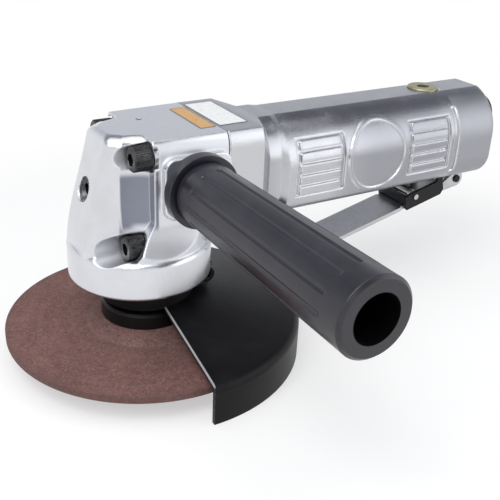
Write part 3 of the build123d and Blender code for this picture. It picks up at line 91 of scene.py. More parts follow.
class Wire:
    """One output socket of a shader graph, which can be used in sums."""

    def __init__(self, graph: "Graph", socket: bpy.types.NodeSocket) -> None:
        """Keeps the socket and the graph that it belongs to."""
        self.graph = graph
        self.socket = socket

    def _math(self, operation: str, first: Number, second: Number = 0.0) -> "Wire":
        """Result of a Math node with the given operation."""
        return self.graph.node("ShaderNodeMath", {"operation": operation}, {0: first, 1: second})

    def __add__(self, other: Number) -> "Wire":
        """Sum."""
        return self._math("ADD", self, other)

    __radd__ = __add__

    def __sub__(self, other: Number) -> "Wire":
        """Difference."""
        return self._math("SUBTRACT", self, other)

    def __rsub__(self, other: Number) -> "Wire":
        """Difference from a number."""
        return self._math("SUBTRACT", other, self)

    def __mul__(self, other: Number) -> "Wire":
        """Product."""
        return self._math("MULTIPLY", self, other)

    __rmul__ = __mul__

    def __gt__(self, other: Number) -> "Wire":
        """1 where this is the larger, otherwise 0."""
        return self._math("GREATER_THAN", self, other)

    def __lt__(self, other: Number) -> "Wire":
        """1 where this is the smaller, otherwise 0."""
        return self._math("LESS_THAN", self, other)

    def __pow__(self, other: Number) -> "Wire":
        """Power."""
        return self._math("POWER", self, other)

    def __or__(self, other: Number) -> "Wire":
        """The larger of two shares."""
        return self._math("MAXIMUM", self, other)

    __ror__ = __or__

    def sine(self) -> "Wire":
        """Sine of the value."""
        return self._math("SINE", self)

    def size(self) -> "Wire":
        """Value without its sign."""
        return self._math("ABSOLUTE", self)

    def reach(self, other: "Wire") -> "Wire":
        """Distance from the line on which this and the other are zero."""
        return (self * self + other * other) ** 0.5

    def ramp(self, low: float, high: float) -> "Wire":
        """Smooth step from 0 at low to 1 at high."""
        inputs = {"Value": self, "From Min": low, "From Max": high}
        return self.graph.node("ShaderNodeMapRange", {"interpolation_type": "SMOOTHSTEP"}, inputs)

    def within(self, low: float, high: float, blur: float) -> "Wire":
        """1 between low and high, with edges of the given blur."""
        return self.ramp(low, low + blur) * (1.0 - self.ramp(high - blur, high))


class Graph:
    """Node tree of a material or of the surround, written as expressions."""

    def __init__(self, owner: Material | bpy.types.World) -> None:
        """Keeps the node tree.

        Args:
            owner: Material or world that the tree belongs to.
        """
        owner.use_nodes = True
        self.owner = owner
        self.tree = owner.node_tree

    def _feed(self, socket: bpy.types.NodeSocket, value: Any) -> None:
        """Links a wire to an input, or sets the input's own value.

        Args:
            socket: Input of a node.
            value: Wire, number, vector or colour.
        """
        if isinstance(value, Wire):
            self.tree.links.new(value.socket, socket)
        elif socket.type == "RGBA":
            socket.default_value = (*value, 1.0)
        else:
            socket.default_value = value

    def node(
        self,
        kind: str,
        settings: dict[str, Any] | None = None,
        inputs: dict[int | str, Any] | None = None,
        output: int | str = 0,
    ) -> Wire:
        """Adds one node.

        Args:
            kind: Type of the node.
            settings: Settings of the node, set first; stops are those of a colour ramp.
            inputs: Values or wires of its sockets, by name or place.
            output: Name or place of the output that is wanted.

        Returns:
            That output.
        """
        made = self.tree.nodes.new(kind)
        for key, value in (settings or {}).items():
            if key == "stops":
                elements = made.color_ramp.elements
                while len(elements) < len(value):
                    elements.new(1.0)
                for element, (place, colour) in zip(elements, value):
                    element.position = place
                    element.color = (*colour, 1.0)
            else:
                setattr(made, key, value)
        for key, value in (inputs or {}).items():
            self._feed(made.inputs[key], value)
        return Wire(self, made.outputs[output])

    def place(self, turn: Point = (0.0, 0.0, 0.0), stretch: Point = (1.0, 1.0, 1.0)) -> Wire:
        """Object coordinates, turned by angles in radians and then scaled along X, Y and Z."""
        point = self.node("ShaderNodeTexCoord", output="Object")
        return self.node("ShaderNodeMapping", {}, {"Vector": point, "Rotation": turn, "Scale": stretch})

    def axis(self, name: str) -> Wire:
        """Object coordinate X, Y or Z, in metres."""
        point = self.node("ShaderNodeTexCoord", output="Object")
        return self.node("ShaderNodeSeparateXYZ", {}, {0: point}, name)

    def facing(self, name: str) -> Wire:
        """Part of the surface's direction along X, Y or Z, from -1 to 1."""
        normal = self.node("ShaderNodeNewGeometry", output="Normal")
        return self.node("ShaderNodeSeparateXYZ", {}, {0: normal}, name)

    def noise(self, vector: Wire, scale: float, detail: float = 3.0, rough: float = 0.55) -> Wire:
        """Noise from 0 to 1, by features in a metre, octaves and the share of the finer ones."""
        inputs = {"Vector": vector, "Scale": scale, "Detail": detail, "Roughness": rough}
        return self.node("ShaderNodeTexNoise", {"noise_dimensions": "3D"}, inputs)

    def cells(self, vector: Wire, scale: float, output: str = "Distance") -> Wire:
        """Distance in Voronoi cells from their middles, or their Color, by cells in a metre."""
        inputs = {"Vector": vector, "Scale": scale}
        return self.node("ShaderNodeTexVoronoi", {"feature": "F1"}, inputs, output)

    def mix(self, share: Wire, first: Any, second: Any) -> Wire:
        """Mix of two colours or wires: 0 for the first, 1 for the second."""
        return self.node("ShaderNodeMix", {"data_type": "RGBA"}, {0: share, 6: first, 7: second}, 2)

    def soft_edge(self, radius: float) -> Wire:
        """Normal that rounds the edges of a piece by a radius in metres."""
        return self.node("ShaderNodeBevel", {"samples": 6}, {"Radius": radius})

    def rubbed(self, rounded: Wire) -> Wire:
        """Share of the places where hands and work rub an edge.

        Args:
            rounded: Normal of the rounded edges.

        Returns:
            1 on the edges, 0 on the faces between them.
        """
        ends = {0: rounded, 1: self.node("ShaderNodeNewGeometry", output="Normal")}
        level = self.node("ShaderNodeVectorMath", {"operation": "DOT_PRODUCT"}, ends, "Value")
        return (1.0 - level).ramp(*RUBBED_EDGE)

    def path(self, name: str) -> Wire:
        """1 for rays of one kind, such as Is Camera Ray, otherwise 0."""
        return self.node("ShaderNodeLightPath", output=name)

    def bump(self, height: Wire, depth: float, normal: Wire | None = None) -> Wire:
        """Normal with fine relief.

        Args:
            height: Height from 0 to 1.
            depth: Height of 1 in metres.
            normal: Normal to start from.

        Returns:
            The normal.
        """
        inputs = {"Height": height, "Distance": depth, "Strength": 1.0}
        if normal is not None:
            inputs["Normal"] = normal
        return self.node("ShaderNodeBump", {}, inputs)

    def finish(self, **inputs: Any) -> Material:
        """Sets the inputs of the shader.

        Args:
            inputs: Values or wires by socket name, with _ for a space.

        Returns:
            The material.
        """
        shader = self.tree.nodes["Principled BSDF"]
        for key, value in inputs.items():
            self._feed(shader.inputs[key.replace("_", " ")], value)
        return self.owner

    def blend(self, share: Wire, first: Wire, second: Wire) -> Wire:
        """Mix of two shaders: 0 for the first, 1 for the second."""
        return self.node("ShaderNodeMixShader", {}, {0: share, 1: first, 2: second})

    def show(self, surface: Wire) -> None:
        """Shows a shader on the surface."""
        end = next(node for node in self.tree.nodes if node.type.startswith("OUTPUT"))
        self.tree.links.new(surface.socket, end.inputs["Surface"])


@dataclass(frozen=True)
class Surface:
    """What every finish has.

    Attributes:
        name: Name of the material.
        colour: Main colour.
    """

    name: str
    colour: Colour

    def graph(self) -> Graph:
        """Node tree of a new material."""
        return Graph(bpy.data.materials.new(self.name))

    def tint(self, share: float, lift: float = 0.0) -> Colour:
        """A share of the colour, with the same lift added to each of its parts."""
        return tuple(share * part + lift for part in self.colour)


@dataclass(frozen=True)
class SideZone:
    """Part of a casting's sides with its own roughness, and with painted light above a share of 1 and painted
    shade below it.

    Attributes:
        along: Ends along X in metres.
        up: Ends along Z in metres.
        blur: Width of the zone's edges along X in metres.
        shade: Share of the buffed colour, which paints light on the zone above 1 and shade below 1.
        roughness: Roughness added to that of the buffed faces.
        fade: Width of the zone's edges along Z in metres.
    """

    along: Span
    up: Span
    blur: float
    shade: Colour
    roughness: float
    fade: float = 0.003

    def share(self, graph: Graph) -> Wire:
        """1 on the sides within the zone, otherwise 0."""
        area = graph.axis("X").within(*self.along, self.blur) * graph.axis("Z").within(*self.up, self.fade)
        return area * graph.facing("Y").size().ramp(*SIDE_FACE)


@dataclass(frozen=True)
class PolishedAlloy(Surface):
    """Die-cast alloy: buffed edges, a satin top, dull places that no buffing wheel reaches, and painted light
    and shade on zones of its sides.

    Attributes:
        roughness: Least roughness of the buffed faces.
        edge: Radius of the softened edges in metres.
        zones: Zones of the sides with a roughness of their own, most of them with painted light or painted
            shade.
        pocket: Radius of the four screw pockets in metres, or zero for none.
        dimple: X, Y and radius of a small dimple in the top in metres, or nothing.
        satin_above: Height above which faces that look up are satin, in metres.
        highlight: Colour of the buffed edges.
        pit: Painted shade in the dimple, near black.
    """

    roughness: float
    edge: float
    zones: tuple[SideZone, ...]
    pocket: float = 0.0
    dimple: Point | None = None
    satin_above: float = 0.0980
    highlight: Colour = (0.88, 0.89, 0.91)
    pit: Colour = (0.06, 0.06, 0.065)

    def material(self) -> Material:
        """Builds the material.

        Returns:
            The material.
        """
        graph = self.graph()
        place = graph.place()
        cloud = graph.noise(place, scale=90.0, detail=4.0)
        fine = graph.noise(graph.place(stretch=(0.15, 1.0, 1.0)), scale=1800.0, rough=0.7)
        struck = graph.place(turn=(0.4, 0.9, 0.2), stretch=(0.08, 1.0, 1.0))
        scuffs = graph.noise(struck, scale=2600.0, detail=2.0).ramp(0.62, 0.76)
        satin = (graph.axis("Z") > self.satin_above) * (graph.facing("Z") > LEVEL_FACE)
        pores = graph.cells(place, scale=2400.0)
        rounded = graph.soft_edge(self.edge)
        buffed = graph.rubbed(rounded)
        tone = graph.mix(cloud.ramp(0.3, 0.75), self.tint(0.92), self.colour)
        tone = graph.mix(satin * fine.ramp(0.35, 0.75), tone, self.tint(0.86))
        rough = self.roughness + 0.08 * cloud.ramp(0.35, 0.8) + 0.04 * scuffs + 0.14 * satin - 0.06 * buffed
        relief = graph.bump(graph.noise(place, scale=110.0, detail=2.0), depth=0.00004, normal=rounded)
        relief = graph.bump(fine * (0.3 + satin), depth=0.000012, normal=relief)
        # Each zone adds roughness, and its shade paints light on the sides above 1 and shade below 1.
        for zone in self.zones:
            share = zone.share(graph)
            tone = graph.mix(share, tone, tuple(map(math.prod, zip(zone.shade, self.colour))))
            rough = rough + zone.roughness * share
            relief = graph.bump(pores * share, depth=0.00005, normal=relief)
        tone = graph.mix(buffed * 0.7, tone, self.highlight)
        if self.pocket > 0.0:
            across = graph.axis("Y").size() - SCREW_SPREAD
            above = (graph.axis("Z") - SCREW_MIDDLE).size() - SCREW_SPREAD
            rough = rough + 0.26 * (1.0 - across.reach(above).ramp(self.pocket, self.pocket + 0.0006))
        # Dimple: a bump whose middle is painted near black as shade.
        if self.dimple:
            start, side, radius = self.dimple
            out = (graph.axis("X") - start).reach(graph.axis("Y") - side)
            hollow_and_shade = (1.0 - out.ramp(radius * 0.4, radius)) * satin
            tone = graph.mix(hollow_and_shade * 0.85, tone, self.pit)
            relief = graph.bump(1.0 - hollow_and_shade, depth=0.0008, normal=relief)
        return graph.finish(Base_Color=tone, Metallic=1.0, Roughness=rough, Normal=relief)


@dataclass(frozen=True)
class DrawnSteel(Surface):
    """Steel or brass with the fine lines of rolling, turning or grinding.

    Attributes:
        roughness: Mean roughness.
        stretch: Scale of the lines along X, Y and Z.
        edge: Radius of the softened edges in metres.
    """

    roughness: float
    stretch: Point
    edge: float

    def material(self) -> Material:
        """Builds the material.

        Returns:
            The material.
        """
        graph = self.graph()
        lines = graph.noise(graph.place(stretch=self.stretch), scale=1500.0, rough=0.65)
        cloud = graph.noise(graph.place(), scale=140.0, detail=4.0)
        rounded = graph.soft_edge(self.edge)
        tone = graph.mix(lines.ramp(0.3, 0.7), self.tint(0.82), self.colour)
        tone = graph.mix(cloud.ramp(0.5, 0.85) * 0.5, tone, self.tint(0.66))
        rough = self.roughness - 0.07 + 0.12 * cloud + 0.06 * lines - 0.06 * graph.rubbed(rounded)
        relief = graph.bump(lines, depth=0.000015, normal=rounded)
        return graph.finish(Base_Color=tone, Metallic=1.0, Roughness=rough, Normal=relief)


@dataclass(frozen=True)
class BlackOxide(Surface):
    """Blackened steel with rubbed edges.

    Attributes:
        worn: Colour of the rubbed places.
        edge: Radius of the softened edges in metres.
        roughness: Least roughness of the black.
    """

    worn: Colour
    edge: float
    roughness: float

    def material(self) -> Material:
        """Builds the material.

        Returns:
            The material.
        """
        graph = self.graph()
        place = graph.place()
        grain = graph.noise(place, scale=2400.0)
        patch = graph.noise(place, scale=320.0, detail=5.0, rough=0.7)
        rounded = graph.soft_edge(self.edge)
        rubbed = patch.ramp(0.60, 0.82) * 0.5 | graph.rubbed(rounded) * patch.ramp(0.35, 0.6)
        tone = graph.mix(rubbed, self.colour, self.worn)
        rough = self.roughness + 0.14 * grain - 0.08 * rubbed
        relief = graph.bump(grain, depth=0.00002, normal=rounded)
        return graph.finish(Base_Color=tone, Metallic=0.65, Roughness=rough, Normal=relief)


@dataclass(frozen=True)
class GlossEnamel(Surface):
    """Sprayed enamel on pressed steel, with a faint orange peel and edges rubbed thin.

    Attributes:
        worn: Colour of the rubbed edges.
        edge: Radius of the softened edges in metres.
        cut: Angle in radians by which the sheared ends of a half cone pass the Y axis, or zero for none.
        fall: Drop of the cone for each metre from its axis.
        crest: Height above which a sheared end is bare, taken up the cone to its axis, in metres.
        bare: Colour of the bare steel.
    """

    worn: Colour
    edge: float
    cut: float = 0.0
    fall: float = 0.0
    crest: float = 0.0
    bare: Colour = (0.42, 0.41, 0.42)

    def material(self) -> Material:
        """Builds the material.

        Returns:
            The material.
        """
        graph = self.graph()
        place = graph.place()
        peel = graph.noise(place, scale=420.0, detail=2.0)
        dust = graph.noise(place, scale=70.0, detail=5.0, rough=0.65)
        patch = graph.noise(place, scale=600.0, detail=4.0, rough=0.7)
        rounded = graph.soft_edge(self.edge)
        rubbed = graph.rubbed(rounded) * patch.ramp(0.3, 0.6)
        tone = graph.mix(dust.ramp(0.45, 0.85), self.colour, self.tint(1.0, lift=0.008))
        tone = graph.mix(rubbed, tone, self.worn)
        if self.cut > 0.0:
            out = graph.axis("Y").size()
            inward = graph.axis("X") + math.tan(self.cut) * out
            upper = (graph.axis("Z") + self.fall * out).ramp(self.crest, self.crest + 0.0004)
            sheared = (1.0 - inward.ramp(0.0003, 0.0008)) * upper * dust.ramp(0.05, 0.4)
            tone = graph.mix(sheared, tone, self.bare)
        rough = 0.30 + 0.16 * dust - 0.06 * rubbed
        relief = graph.bump(peel, depth=0.00005, normal=rounded)
        return graph.finish(Base_Color=tone, Roughness=rough, Normal=relief, Specular_IOR_Level=0.14)


@dataclass(frozen=True)
class MouldedRubber(Surface):
    """Dense moulded rubber, half gloss, with a fine grain and paler scuffs.

    Attributes:
        edge: Radius of the softened edges in metres.
        bore: Radius in metres of the handle's blind bore, which is painted dark as shade and has no shine.
    """

    edge: float
    bore: float

    def material(self) -> Material:
        """Builds the material.

        Returns:
            The material.
        """
        graph = self.graph()
        place = graph.place()
        grain = graph.noise(place, scale=1900.0, rough=0.6)
        cloud = graph.noise(place, scale=75.0, detail=5.0, rough=0.6)
        struck = graph.place(turn=(0.3, 0.2, 0.5), stretch=(1.0, 0.06, 1.0))
        scratch = graph.noise(struck, scale=1400.0, detail=2.0).ramp(0.66, 0.8)
        rounded = graph.soft_edge(self.edge)
        bloom = cloud.ramp(0.42, 0.8) * 0.6 | graph.rubbed(rounded) * 0.8 | scratch * 0.5
        # Painted shade: the blind bore is darkened to a tenth of the colour and made dull.
        out = (graph.axis("X") - HANDLE_X).reach(graph.axis("Z") - HANDLE_Z)
        inside = 1.0 - out.ramp(self.bore, self.bore + 0.0003)
        tone = graph.mix(bloom, self.colour, self.tint(1.7, lift=0.008))
        tone = graph.mix(inside, tone, self.tint(0.1))
        rough = 0.23 + 0.12 * cloud + 0.06 * grain + 0.6 * inside
        relief = graph.bump(grain, depth=0.00003, normal=rounded)
        return graph.finish(
            Base_Color=tone, Metallic=0.9 * inside, Roughness=rough, Normal=relief, Specular_IOR_Level=0.6
        )


@dataclass(frozen=True)
class BondedGrit(Surface):
    """Abrasive grains in a baked resin of the main colour, with the weave of the glass net under them.

    Attributes:
        pale: Colour of the pale grains.
        dark: Colour of the dark grains.
        worn: Colour of the darker rim.
        grains: Number of grains in a metre.
        weave: Turn of the net's waves in each metre, in radians.
        hub: Radii in metres between which the painted pale sheen round the flange ends.
        rim: Radii in metres between which the darker rim starts.
    """

    pale: Colour
    dark: Colour
    worn: Colour
    grains: float = 1700.0
    weave: float = 1050.0
    hub: Span = (0.022, 0.042)
    rim: Span = (0.0590, 0.0622)

    def material(self) -> Material:
        """Builds the material.

        Returns:
            The material.
        """
        graph = self.graph()
        place = graph.place()
        grain = graph.cells(place, self.grains)
        pick = graph.node("ShaderNodeSeparateColor", {}, {0: graph.cells(place, self.grains, "Color")})
        cloud = graph.noise(place, scale=60.0, detail=5.0, rough=0.65)
        across, along = graph.axis("X"), graph.axis("Y")
        net = ((across * self.weave).sine() * (along * self.weave).sine()).ramp(0.1, 0.9)
        out = across.reach(along)
        rings = (out * 900.0 + cloud * 5.0).sine()
        tone = graph.mix(cloud.ramp(0.3, 0.7), self.tint(0.76), self.tint(1.08))
        for share, colour in (
            # Painted sheen: paler round the flange.
            ((1.0 - out.ramp(*self.hub)) * (0.1 + 0.5 * cloud), self.pale),
            (rings.ramp(0.2, 1.0) * 0.12, self.pale),
            ((pick > 0.82) * 0.5, self.pale),
            ((pick < 0.20) * 0.6, self.dark),
            (net * 0.14, self.dark),
            # Darker towards the rim.
            (out.ramp(*self.rim) * (0.25 + 0.4 * cloud), self.worn),
        ):
            tone = graph.mix(share, tone, colour)
        relief = graph.bump(net, depth=0.0001, normal=graph.bump(grain, depth=0.00022))
        return graph.finish(Base_Color=tone, Roughness=0.72 + 0.18 * grain, Normal=relief)


@dataclass(frozen=True)
class PlainStock(Surface):
    """Fibre, felt or phenolic stock with a grain of its own.

    Attributes:
        grain: Number of grains in a metre.
        depth: Height of the grain in metres.
        roughness: Mean roughness.
    """

    grain: float
    depth: float
    roughness: float

    def material(self) -> Material:
        """Builds the material.

        Returns:
            The material.
        """
        graph = self.graph()
        grain = graph.noise(graph.place(), self.grain, detail=4.0, rough=0.7)
        tone = graph.mix(grain.ramp(0.3, 0.75), self.tint(0.7), self.colour)
        rough = self.roughness - 0.05 + 0.1 * grain
        return graph.finish(Base_Color=tone, Roughness=rough, Normal=graph.bump(grain, self.depth))


@dataclass(frozen=True)
class PrintedFoil(Surface):
    """Plain coloured field of a foil sticker inside a thin dark line.

    Attributes:
        line: Colour of the line round it.
        inner: Field inside the line in metres.
        blur: Width of the line's inner edge in metres.
        roughness: Least roughness of the foil.
        foil: Colour of the bare foil.
    """

    line: Colour
    inner: Field
    blur: float = 0.00008
    roughness: float = 0.34
    foil: Colour = (0.62, 0.62, 0.63)

    def material(self) -> Material:
        """Builds the material.

        Returns:
            The material.
        """
        graph = self.graph()
        place = graph.place()
        ink = graph.noise(place, scale=500.0, detail=4.0)
        worn = graph.noise(place, scale=1500.0, rough=0.7).ramp(0.62, 0.8)
        along, across = self.inner
        inside = graph.axis("X").within(*along, self.blur) * graph.axis("Y").within(*across, self.blur)
        tone = graph.mix(ink.ramp(0.35, 0.8), self.colour, self.tint(0.86))
        tone = graph.mix(worn * 0.4, tone, self.foil)
        tone = graph.mix(inside, self.line, tone)
        relief = graph.bump(graph.noise(place, scale=160.0, detail=2.0), depth=0.00006)
        return graph.finish(Base_Color=tone, Roughness=self.roughness + 0.1 * ink, Normal=relief)


GREY_STEEL: Colour = (0.58, 0.58, 0.60)
GLOSS: Colour = (0.006, 0.006, 0.007)
THIN_GLOSS: Colour = (0.09, 0.09, 0.095)
# Painted shade for the rear of the grip's sides.
REAR_SHADE: Colour = (0.75, 0.755, 0.775)
TURNED: Point = (1.0, 1.0, 0.1)
ROLLED: Point = (0.06, 1.0, 1.0)


class Finish(Enum):
    """Finishes of the tool's pieces."""

    HEAD_ALLOY = PolishedAlloy(
        "polished_head_alloy", (0.72, 0.73, 0.76), roughness=0.21, edge=0.0013,
        zones=(
            # Sunk flank of the nose: rougher, with a painted dark bluish reflection.
            SideZone((-0.0174, -0.0040), (0.0605, 0.0862), 0.0009, (0.36, 0.37, 0.43), 0.20),
            SideZone((-0.0150, 0.0260), (0.0490, 0.0650), 0.0040, (0.98, 0.98, 0.98), 0.26),
        ),
        pocket=0.0064, dimple=(0.0012, 0.0068, 0.0017),
    )
    ALLOY = PolishedAlloy(
        "polished_grip_alloy", (0.45, 0.455, 0.48), roughness=0.20, edge=0.0014,
        zones=(
            # Painted highlight: the flange's sides brighter.
            SideZone((0.0260, 0.0455), (0.0500, 0.1000), 0.0012, (1.26, 1.26, 1.24), 0.0),
            # Painted light: the front of the grip's sides brighter.
            SideZone((0.0455, 0.0950), (0.0480, 0.1010), 0.0150, (1.14, 1.14, 1.13), 0.0),
            # Painted shade: the grip's sides darker from the medallion back.
            SideZone((0.0800, 0.1720), (0.0480, 0.1010), 0.0300, REAR_SHADE, 0.02),
            # Rear block: satin, and darker by painted shade.
            SideZone((0.1578, 0.1850), (0.0500, 0.1000), 0.0009, REAR_SHADE, 0.18),
        ),
    )
    STEEL = DrawnSteel("turned_steel", GREY_STEEL, 0.30, TURNED, edge=0.0003)
    LEVER_STEEL = DrawnSteel("rolled_lever_steel", GREY_STEEL, 0.30, ROLLED, edge=0.0004)
    BLACK = BlackOxide(
        "black_oxide", (0.013, 0.013, 0.014), worn=(0.11, 0.11, 0.115), edge=0.0004, roughness=0.32
    )
    SCREW_BLACK = BlackOxide(
        "screw_black_oxide", (0.02, 0.02, 0.022), worn=(0.44, 0.44, 0.45), edge=0.00024, roughness=0.18
    )
    ENAMEL = GlossEnamel("black_gloss_enamel", GLOSS, THIN_GLOSS, edge=0.0005)
    GUARD_ENAMEL = GlossEnamel(
        "sheared_gloss_enamel", GLOSS, THIN_GLOSS, edge=0.0005,
        cut=math.radians(2.0), fall=0.2166, crest=0.0275,
    )
    RUBBER = MouldedRubber("moulded_rubber", (0.0120, 0.0115, 0.0180), edge=0.0005, bore=0.0089)
    GRIT = BondedGrit(
        "resin_bonded_grit", (0.19, 0.089, 0.080),
        pale=(0.28, 0.17, 0.15), dark=(0.09, 0.047, 0.042), worn=(0.108, 0.0564, 0.0504),
    )
    BRASS = DrawnSteel("turned_brass", (0.46, 0.44, 0.29), 0.40, TURNED, edge=0.0003)
    GASKET = PlainStock("gasket_sheet", (0.014, 0.014, 0.015), 1500.0, depth=0.00003, roughness=0.8)
    FELT = PlainStock("pressed_felt", (0.30, 0.29, 0.28), 2600.0, depth=0.0001, roughness=0.95)
    PHENOLIC = PlainStock("phenolic_laminate", (0.30, 0.17, 0.08), 1200.0, depth=0.00003, roughness=0.55)
    ORANGE = PrintedFoil(
        "orange_print", (0.54, 0.31, 0.10), (0.16, 0.11, 0.06), ((0.0194, 0.0259), (-0.0143, 0.0143))
    )
    WHITE_PRINT = PrintedFoil(
        "white_print", (0.76, 0.77, 0.77), (0.10, 0.10, 0.11), ((0.0283, 0.0413), (-0.0140, 0.0180))
    )


def rank(part: bmesh.types.BMEdge | bmesh.types.BMFace) -> int:
    """Place of an edge or a face by its lowest corners, which is the same in each run.

    Args:
        part: Edge or face of a shape whose corners are numbered.

    Returns:
        The place.
    """
    place = 0
    for corner in sorted(corner.index for corner in part.verts)[:TELLING_CORNERS]:
        place = place * CORNER_LIMIT + corner
    return place


def new_object(name: str, shape: Shape, material: Material) -> bpy.types.Object:
    """Puts a shape in the scene.

    Args:
        name: Name of the object.
        shape: Its shape in metres, which is freed.
        material: Its material.

    Returns:
        The object.
    """
    mesh = bpy.data.meshes.new(name)
    shape.to_mesh(mesh)
    shape.free()
    mesh.materials.append(material)
    made = bpy.data.objects.new(name, mesh)
    bpy.context.scene.collection.objects.link(made)
    return made


def wind(shape: Shape, centre: Sequence[float], axis: Point, pitch: float, turns: int, steps: int) -> None:
    """Winds a closed profile along an axis and closes both ends.

    Args:
        shape: Shape that holds the profile alone.
        centre: Point on the axis in metres.
        axis: Direction of the axis.
        pitch: Way along the axis in each turn in metres.
        turns: Number of turns.
        steps: Number of steps in each turn.
    """
    corners = len(shape.verts)
    bmesh.ops.spin(
        shape, geom=shape.verts[:] + shape.edges[:], cent=centre, axis=axis,
        dvec=Vector(axis) * (pitch / steps), angle=math.tau * turns, steps=steps * turns, use_merge=False,
    )
    ends = [edge for edge in shape.edges if edge.is_boundary]
    bmesh.ops.holes_fill(shape, edges=ends, sides=corners)


@dataclass(frozen=True)
class InnerThread:
    """Helical ridge of a thread inside a bored hole.

    Attributes:
        mouth: Start of the thread on the hole's axis in metres.
        inward: Direction from the mouth into the hole, along X or Y.
        radius: Radius of the ridge's foot in metres.
        depth: Height of the ridge in metres.
        pitch: Advance of one turn in metres.
        turns: Number of turns.
        foot: Shares of the pitch at which the ridge starts and ends.
        steps: Number of steps in each turn.
    """

    mouth: Point
    inward: Point
    radius: float
    depth: float
    pitch: float
    turns: int
    foot: Span = (0.06, 0.94)
    steps: int = 28

    def shape(self) -> Shape:
        """Winds one three-cornered profile along the hole.

        Returns:
            The ridge, closed at both ends.
        """
        shape = bmesh.new()
        start, inward = Vector(self.mouth), Vector(self.inward)
        corners = [(self.radius, share) for share in self.foot] + [(self.radius - self.depth, 0.5)]
        ring = [
            shape.verts.new(start + inward * (share * self.pitch) + Vector((0.0, 0.0, reach)))
            for reach, share in corners
        ]
        for place, corner in enumerate(ring):
            shape.edges.new((corner, ring[place - 1]))
        wind(shape, self.mouth, self.inward, self.pitch, self.turns, self.steps)
        return shape


@dataclass(frozen=True)
class CapScrew:
    """Socket screw with a knurled head.

    Attributes:
        reach: Radius over the ridges of the knurl in metres.
        length: Length of the head in metres.
        rim: Width of the chamfers at the ends of head and shank in metres.
        ridges: Number of the knurl's ridges.
        groove: Depth of the knurl in metres.
        socket: Width of the hexagonal socket across its flats in metres.
        sunk: Depth of the socket in metres.
        drilled: Depth of the drilled cone at the socket's bottom in metres.
        shank: Radius of the shank in metres.
        tip: Share of the shank's radius at its end.
    """

    reach: float = 0.0051
    length: float = 0.0084
    rim: float = 0.0006
    ridges: int = 36
    groove: float = 0.00032
    socket: float = 0.0050
    sunk: float = 0.0042
    drilled: float = 0.0007
    shank: float = 0.0030
    tip: float = 0.85

    def _ring(self, shape: Shape, sides: int, radius: float) -> Ring:
        """Draws a ring at the height of the head's top.

        Args:
            shape: Shape that the ring joins.
            sides: Number of its edges.
            radius: Radius of its corners in metres.

        Returns:
            Its edges.
        """
        level = Matrix.Translation((0.0, 0.0, self.length))
        corners = set(bmesh.ops.create_circle(shape, segments=sides, radius=radius, matrix=level)["verts"])
        return [edge for edge in shape.edges if edge.verts[0] in corners]

    def _draw(self, shape: Shape, ring: Ring, rise: float, share: float) -> Ring:
        """Extrudes a ring along the screw.

        Args:
            shape: Shape of the screw.
            ring: Edges of the ring.
            rise: Way along the axis in metres.
            share: Scale of the new ring.

        Returns:
            Edges of the new ring.
        """
        made = bmesh.ops.extrude_edge_only(shape, edges=ring)["geom"]
        corners = [item for item in made if isinstance(item, bmesh.types.BMVert)]
        bmesh.ops.scale(shape, vec=(share, share, 1.0), verts=corners)
        bmesh.ops.translate(shape, vec=(0.0, 0.0, rise), verts=corners)
        return [item for item in made if isinstance(item, bmesh.types.BMEdge)]

    def _knurl(self, shape: Shape, side: Ring) -> None:
        """Pulls every second corner of a ring inwards.

        Args:
            shape: Shape of the screw.
            side: Edges of the ring.
        """
        corners = dict.fromkeys(corner for edge in side for corner in edge.verts)
        angles = {corner: math.atan2(corner.co.y, corner.co.x) * self.ridges / math.pi for corner in corners}
        grooves = [corner for corner, angle in angles.items() if round(angle) % 2]
        inward = 1.0 - self.groove / self.reach
        bmesh.ops.scale(shape, vec=(inward, inward, 1.0), verts=grooves)

    def add(self, shape: Shape, seat: Point, end: float, turn: float) -> None:
        """Adds one screw with its axis along X.

        Args:
            shape: Shape that the screw joins.
            seat: Middle of the head's seat in metres.
            end: X of the shank's end in metres.
            turn: Turn of the screw about its axis in radians.
        """
        count = len(shape.verts)
        flat = self.reach - self.rim
        top = self._ring(shape, 2 * self.ridges, flat)
        mouth = self._ring(shape, HEXAGON, self.socket / 2 / math.cos(math.pi / HEXAGON))
        bmesh.ops.bridge_loops(shape, edges=top + mouth)
        bottom = self._draw(shape, mouth, -self.sunk, 1.0)
        floor = bmesh.ops.holes_fill(shape, edges=bottom, sides=HEXAGON)["faces"]
        drilled = bmesh.ops.poke(shape, faces=floor)["verts"]
        bmesh.ops.translate(shape, vec=(0.0, 0.0, -self.drilled), verts=drilled)
        side = self._draw(shape, top, -self.rim, self.reach / flat)
        self._knurl(shape, side)
        for rise, share in (
            (2 * self.rim - self.length, 1.0),
            (-self.rim, flat / self.reach),
            (0.0, self.shank / flat),
            (seat[0] - end + self.rim, 1.0),
            (-self.rim, self.tip),
        ):
            side = self._draw(shape, side, rise, share)
        bmesh.ops.holes_fill(shape, edges=side, sides=2 * self.ridges)
        shape.verts.ensure_lookup_table()
        laid = Matrix.Rotation(-math.pi / 2, 4, "Y") @ Matrix.Rotation(turn, 4, "Z")
        bmesh.ops.transform(shape, matrix=Matrix.Translation(seat) @ laid, verts=shape.verts[count:])


